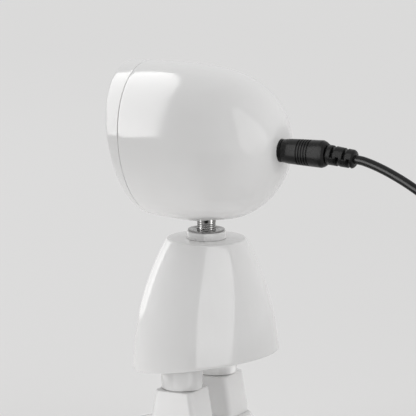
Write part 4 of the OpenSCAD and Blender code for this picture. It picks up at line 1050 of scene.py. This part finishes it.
def makeFloor(s):
    bm = bmesh.new()
    bmesh.ops.create_grid(bm, x_segments=s["tiles"], y_segments=s["tiles"], size=s["half"])
    floor = newObject("floor", bm)
    material = bpy.data.materials.new("paperFloor")
    start = emptyTree(material)
    at = start.add("ShaderNodeTexCoord", out=3)
    tones = [grey(s["tone"] * share, s["warm"]) for share in (1 - s["mottle"], 1 + s["mottle"])]
    paper = start.add("ShaderNodeBsdfDiffuse", None, {"Color": mixColour(noise(at, *s["cloud"]), *tones)})
    ray = start.add("ShaderNodeLightPath")
    direct, mirrored = ray.other("Is Camera Ray"), ray.other("Is Glossy Ray")
    facing = vectorMath(vectorMath(at, "NORMALIZE", out=0), "DOT_PRODUCT", s["cameraWay"])
    dim = spread(facing, *s["dimFrom"], 1, 1 - s["dim"])  # mirrors show the camera's side darker
    behind = spread(facing, *s["behindFrom"], s["behind"], 1)
    farther = spread(vectorMath(at, "LENGTH"), *s["fartherFrom"], 1, s["farther"])
    level = direct * farther * s["shown"] + mirrored * s["mirrored"] * dim * behind
    shown = start.add("ShaderNodeEmission", None, {"Color": grey(1, s["shownWarm"]), "Strength": level})
    ahead = vectorMath(at, "DISTANCE", s["poolAt"])
    pool = math.e ** (ahead * ahead * (-1 / s["poolWide"] ** 2))
    lift = (s["lift"] + pool * s["pool"]) * (1 - (direct + mirrored))  # the paper glows under the figure for rays other than camera and mirror rays: a painted pool of fill light from below
    glow = start.add("ShaderNodeEmission", None, {"Color": grey(1), "Strength": lift})
    lit = start.add("ShaderNodeAddShader", None, {0: paper, 1: glow})
    even = direct * (1 - s["keep"]) + mirrored  # the rest of the paper keeps the shadow
    mixed = start.add("ShaderNodeMixShader", None, {0: even, 1: lit, 2: shown})
    start.add("ShaderNodeOutputMaterial", None, {"Surface": mixed})
    floor.data.materials.append(material)


def makeKey(s):
    data = bpy.data.lights.new("keyBox", "AREA")
    data.shape, data.size, data.size_y = "ELLIPSE", *s["size"]
    data.energy = s["glow"] * math.pi * s["size"][0] * s["size"][1] * math.pi / 4
    key = bpy.data.objects.new("keyBox", data)
    back, side = Vector(s["way"]).normalized(), Vector(s["across"])
    side = (side - back * side.dot(back)).normalized()
    turn = Matrix((side, back.cross(side), back)).transposed().to_4x4()
    key.matrix_world = Matrix.Translation(Vector(s["aim"]) + back * s["far"]) @ turn
    key.visible_camera = key.visible_glossy = False
    scene.collection.objects.link(key)


def shareAlong(at, way, low, high):  # 0 to 1 between two places along a way, in millimetres
    return spread(vectorMath(at, "DOT_PRODUCT", way), low * mm, high * mm)


def makeCard(name, s):
    way = Vector(s["way"]).normalized()
    side = upward.cross(way)
    bm = bmesh.new()
    bm.faces.new([bm.verts.new((way * s["far"] + side * a + upward * z) * mm) for a, z in s["corners"]])
    card = newObject(name, bm)
    material = bpy.data.materials.new(name)
    start = emptyTree(material)
    at = start.add("ShaderNodeTexCoord", out=3)
    glow = s["glow"]
    if "fade" in s:  # brighter towards one side
        low, high, power = s["fade"]
        glow = glow * (fadeLeast + shareAlong(at, side, low, high) ** power)
    if "lower" in s:  # brighter towards the lower edge
        low, high, gain = s["lower"]
        glow = glow * (1 + gain * (1 - shareAlong(at, upward, low, high)))
    through = start.add("ShaderNodeBsdfTransparent")
    shine = start.add("ShaderNodeEmission", None, {"Color": grey(1, cardWarm), "Strength": glow})
    both = start.add("ShaderNodeAddShader", None, {0: through, 1: shine})
    start.add("ShaderNodeOutputMaterial", None, {"Surface": both})
    card.data.materials.append(material)
    group = bpy.data.collections.new(name + "On")  # the pieces that the card shows on
    for other in s["on"]:
        group.objects.link(bpy.data.objects[other])
    card.light_linking.receiver_collection = group
    card.visible_camera = card.visible_diffuse = card.visible_shadow = False


def makeWorld(s):
    world = bpy.data.worlds.new("studio")
    start = emptyTree(world)
    height = start.add("ShaderNodeSeparateXYZ", None, {"Vector": start.add("ShaderNodeTexCoord")}, out=2)
    across, ahead = height.other("X"), height.other("Y")
    level = spread(height, 0, s["zenithFrom"], s["horizon"], s["zenith"])
    level = level * (1 + s["ends"] * ahead * ahead + s["side"] * across)  # brighter before and behind
    mirrored = start.add("ShaderNodeLightPath").other("Is Glossy Ray")
    level = level * (1 - mirrored) + s["sheen"] * mirrored
    shade = start.add("ShaderNodeBackground", None, {"Color": grey(1), "Strength": level})
    start.add("ShaderNodeOutputWorld", None, {"Surface": shade})
    scene.world = world


makeFloor(floorSet)
makeKey(keySet)
for name, card in cardSet.items():
    makeCard(name, card)
makeWorld(worldSet)
print("stage set")

bpy.context.view_layer.update()
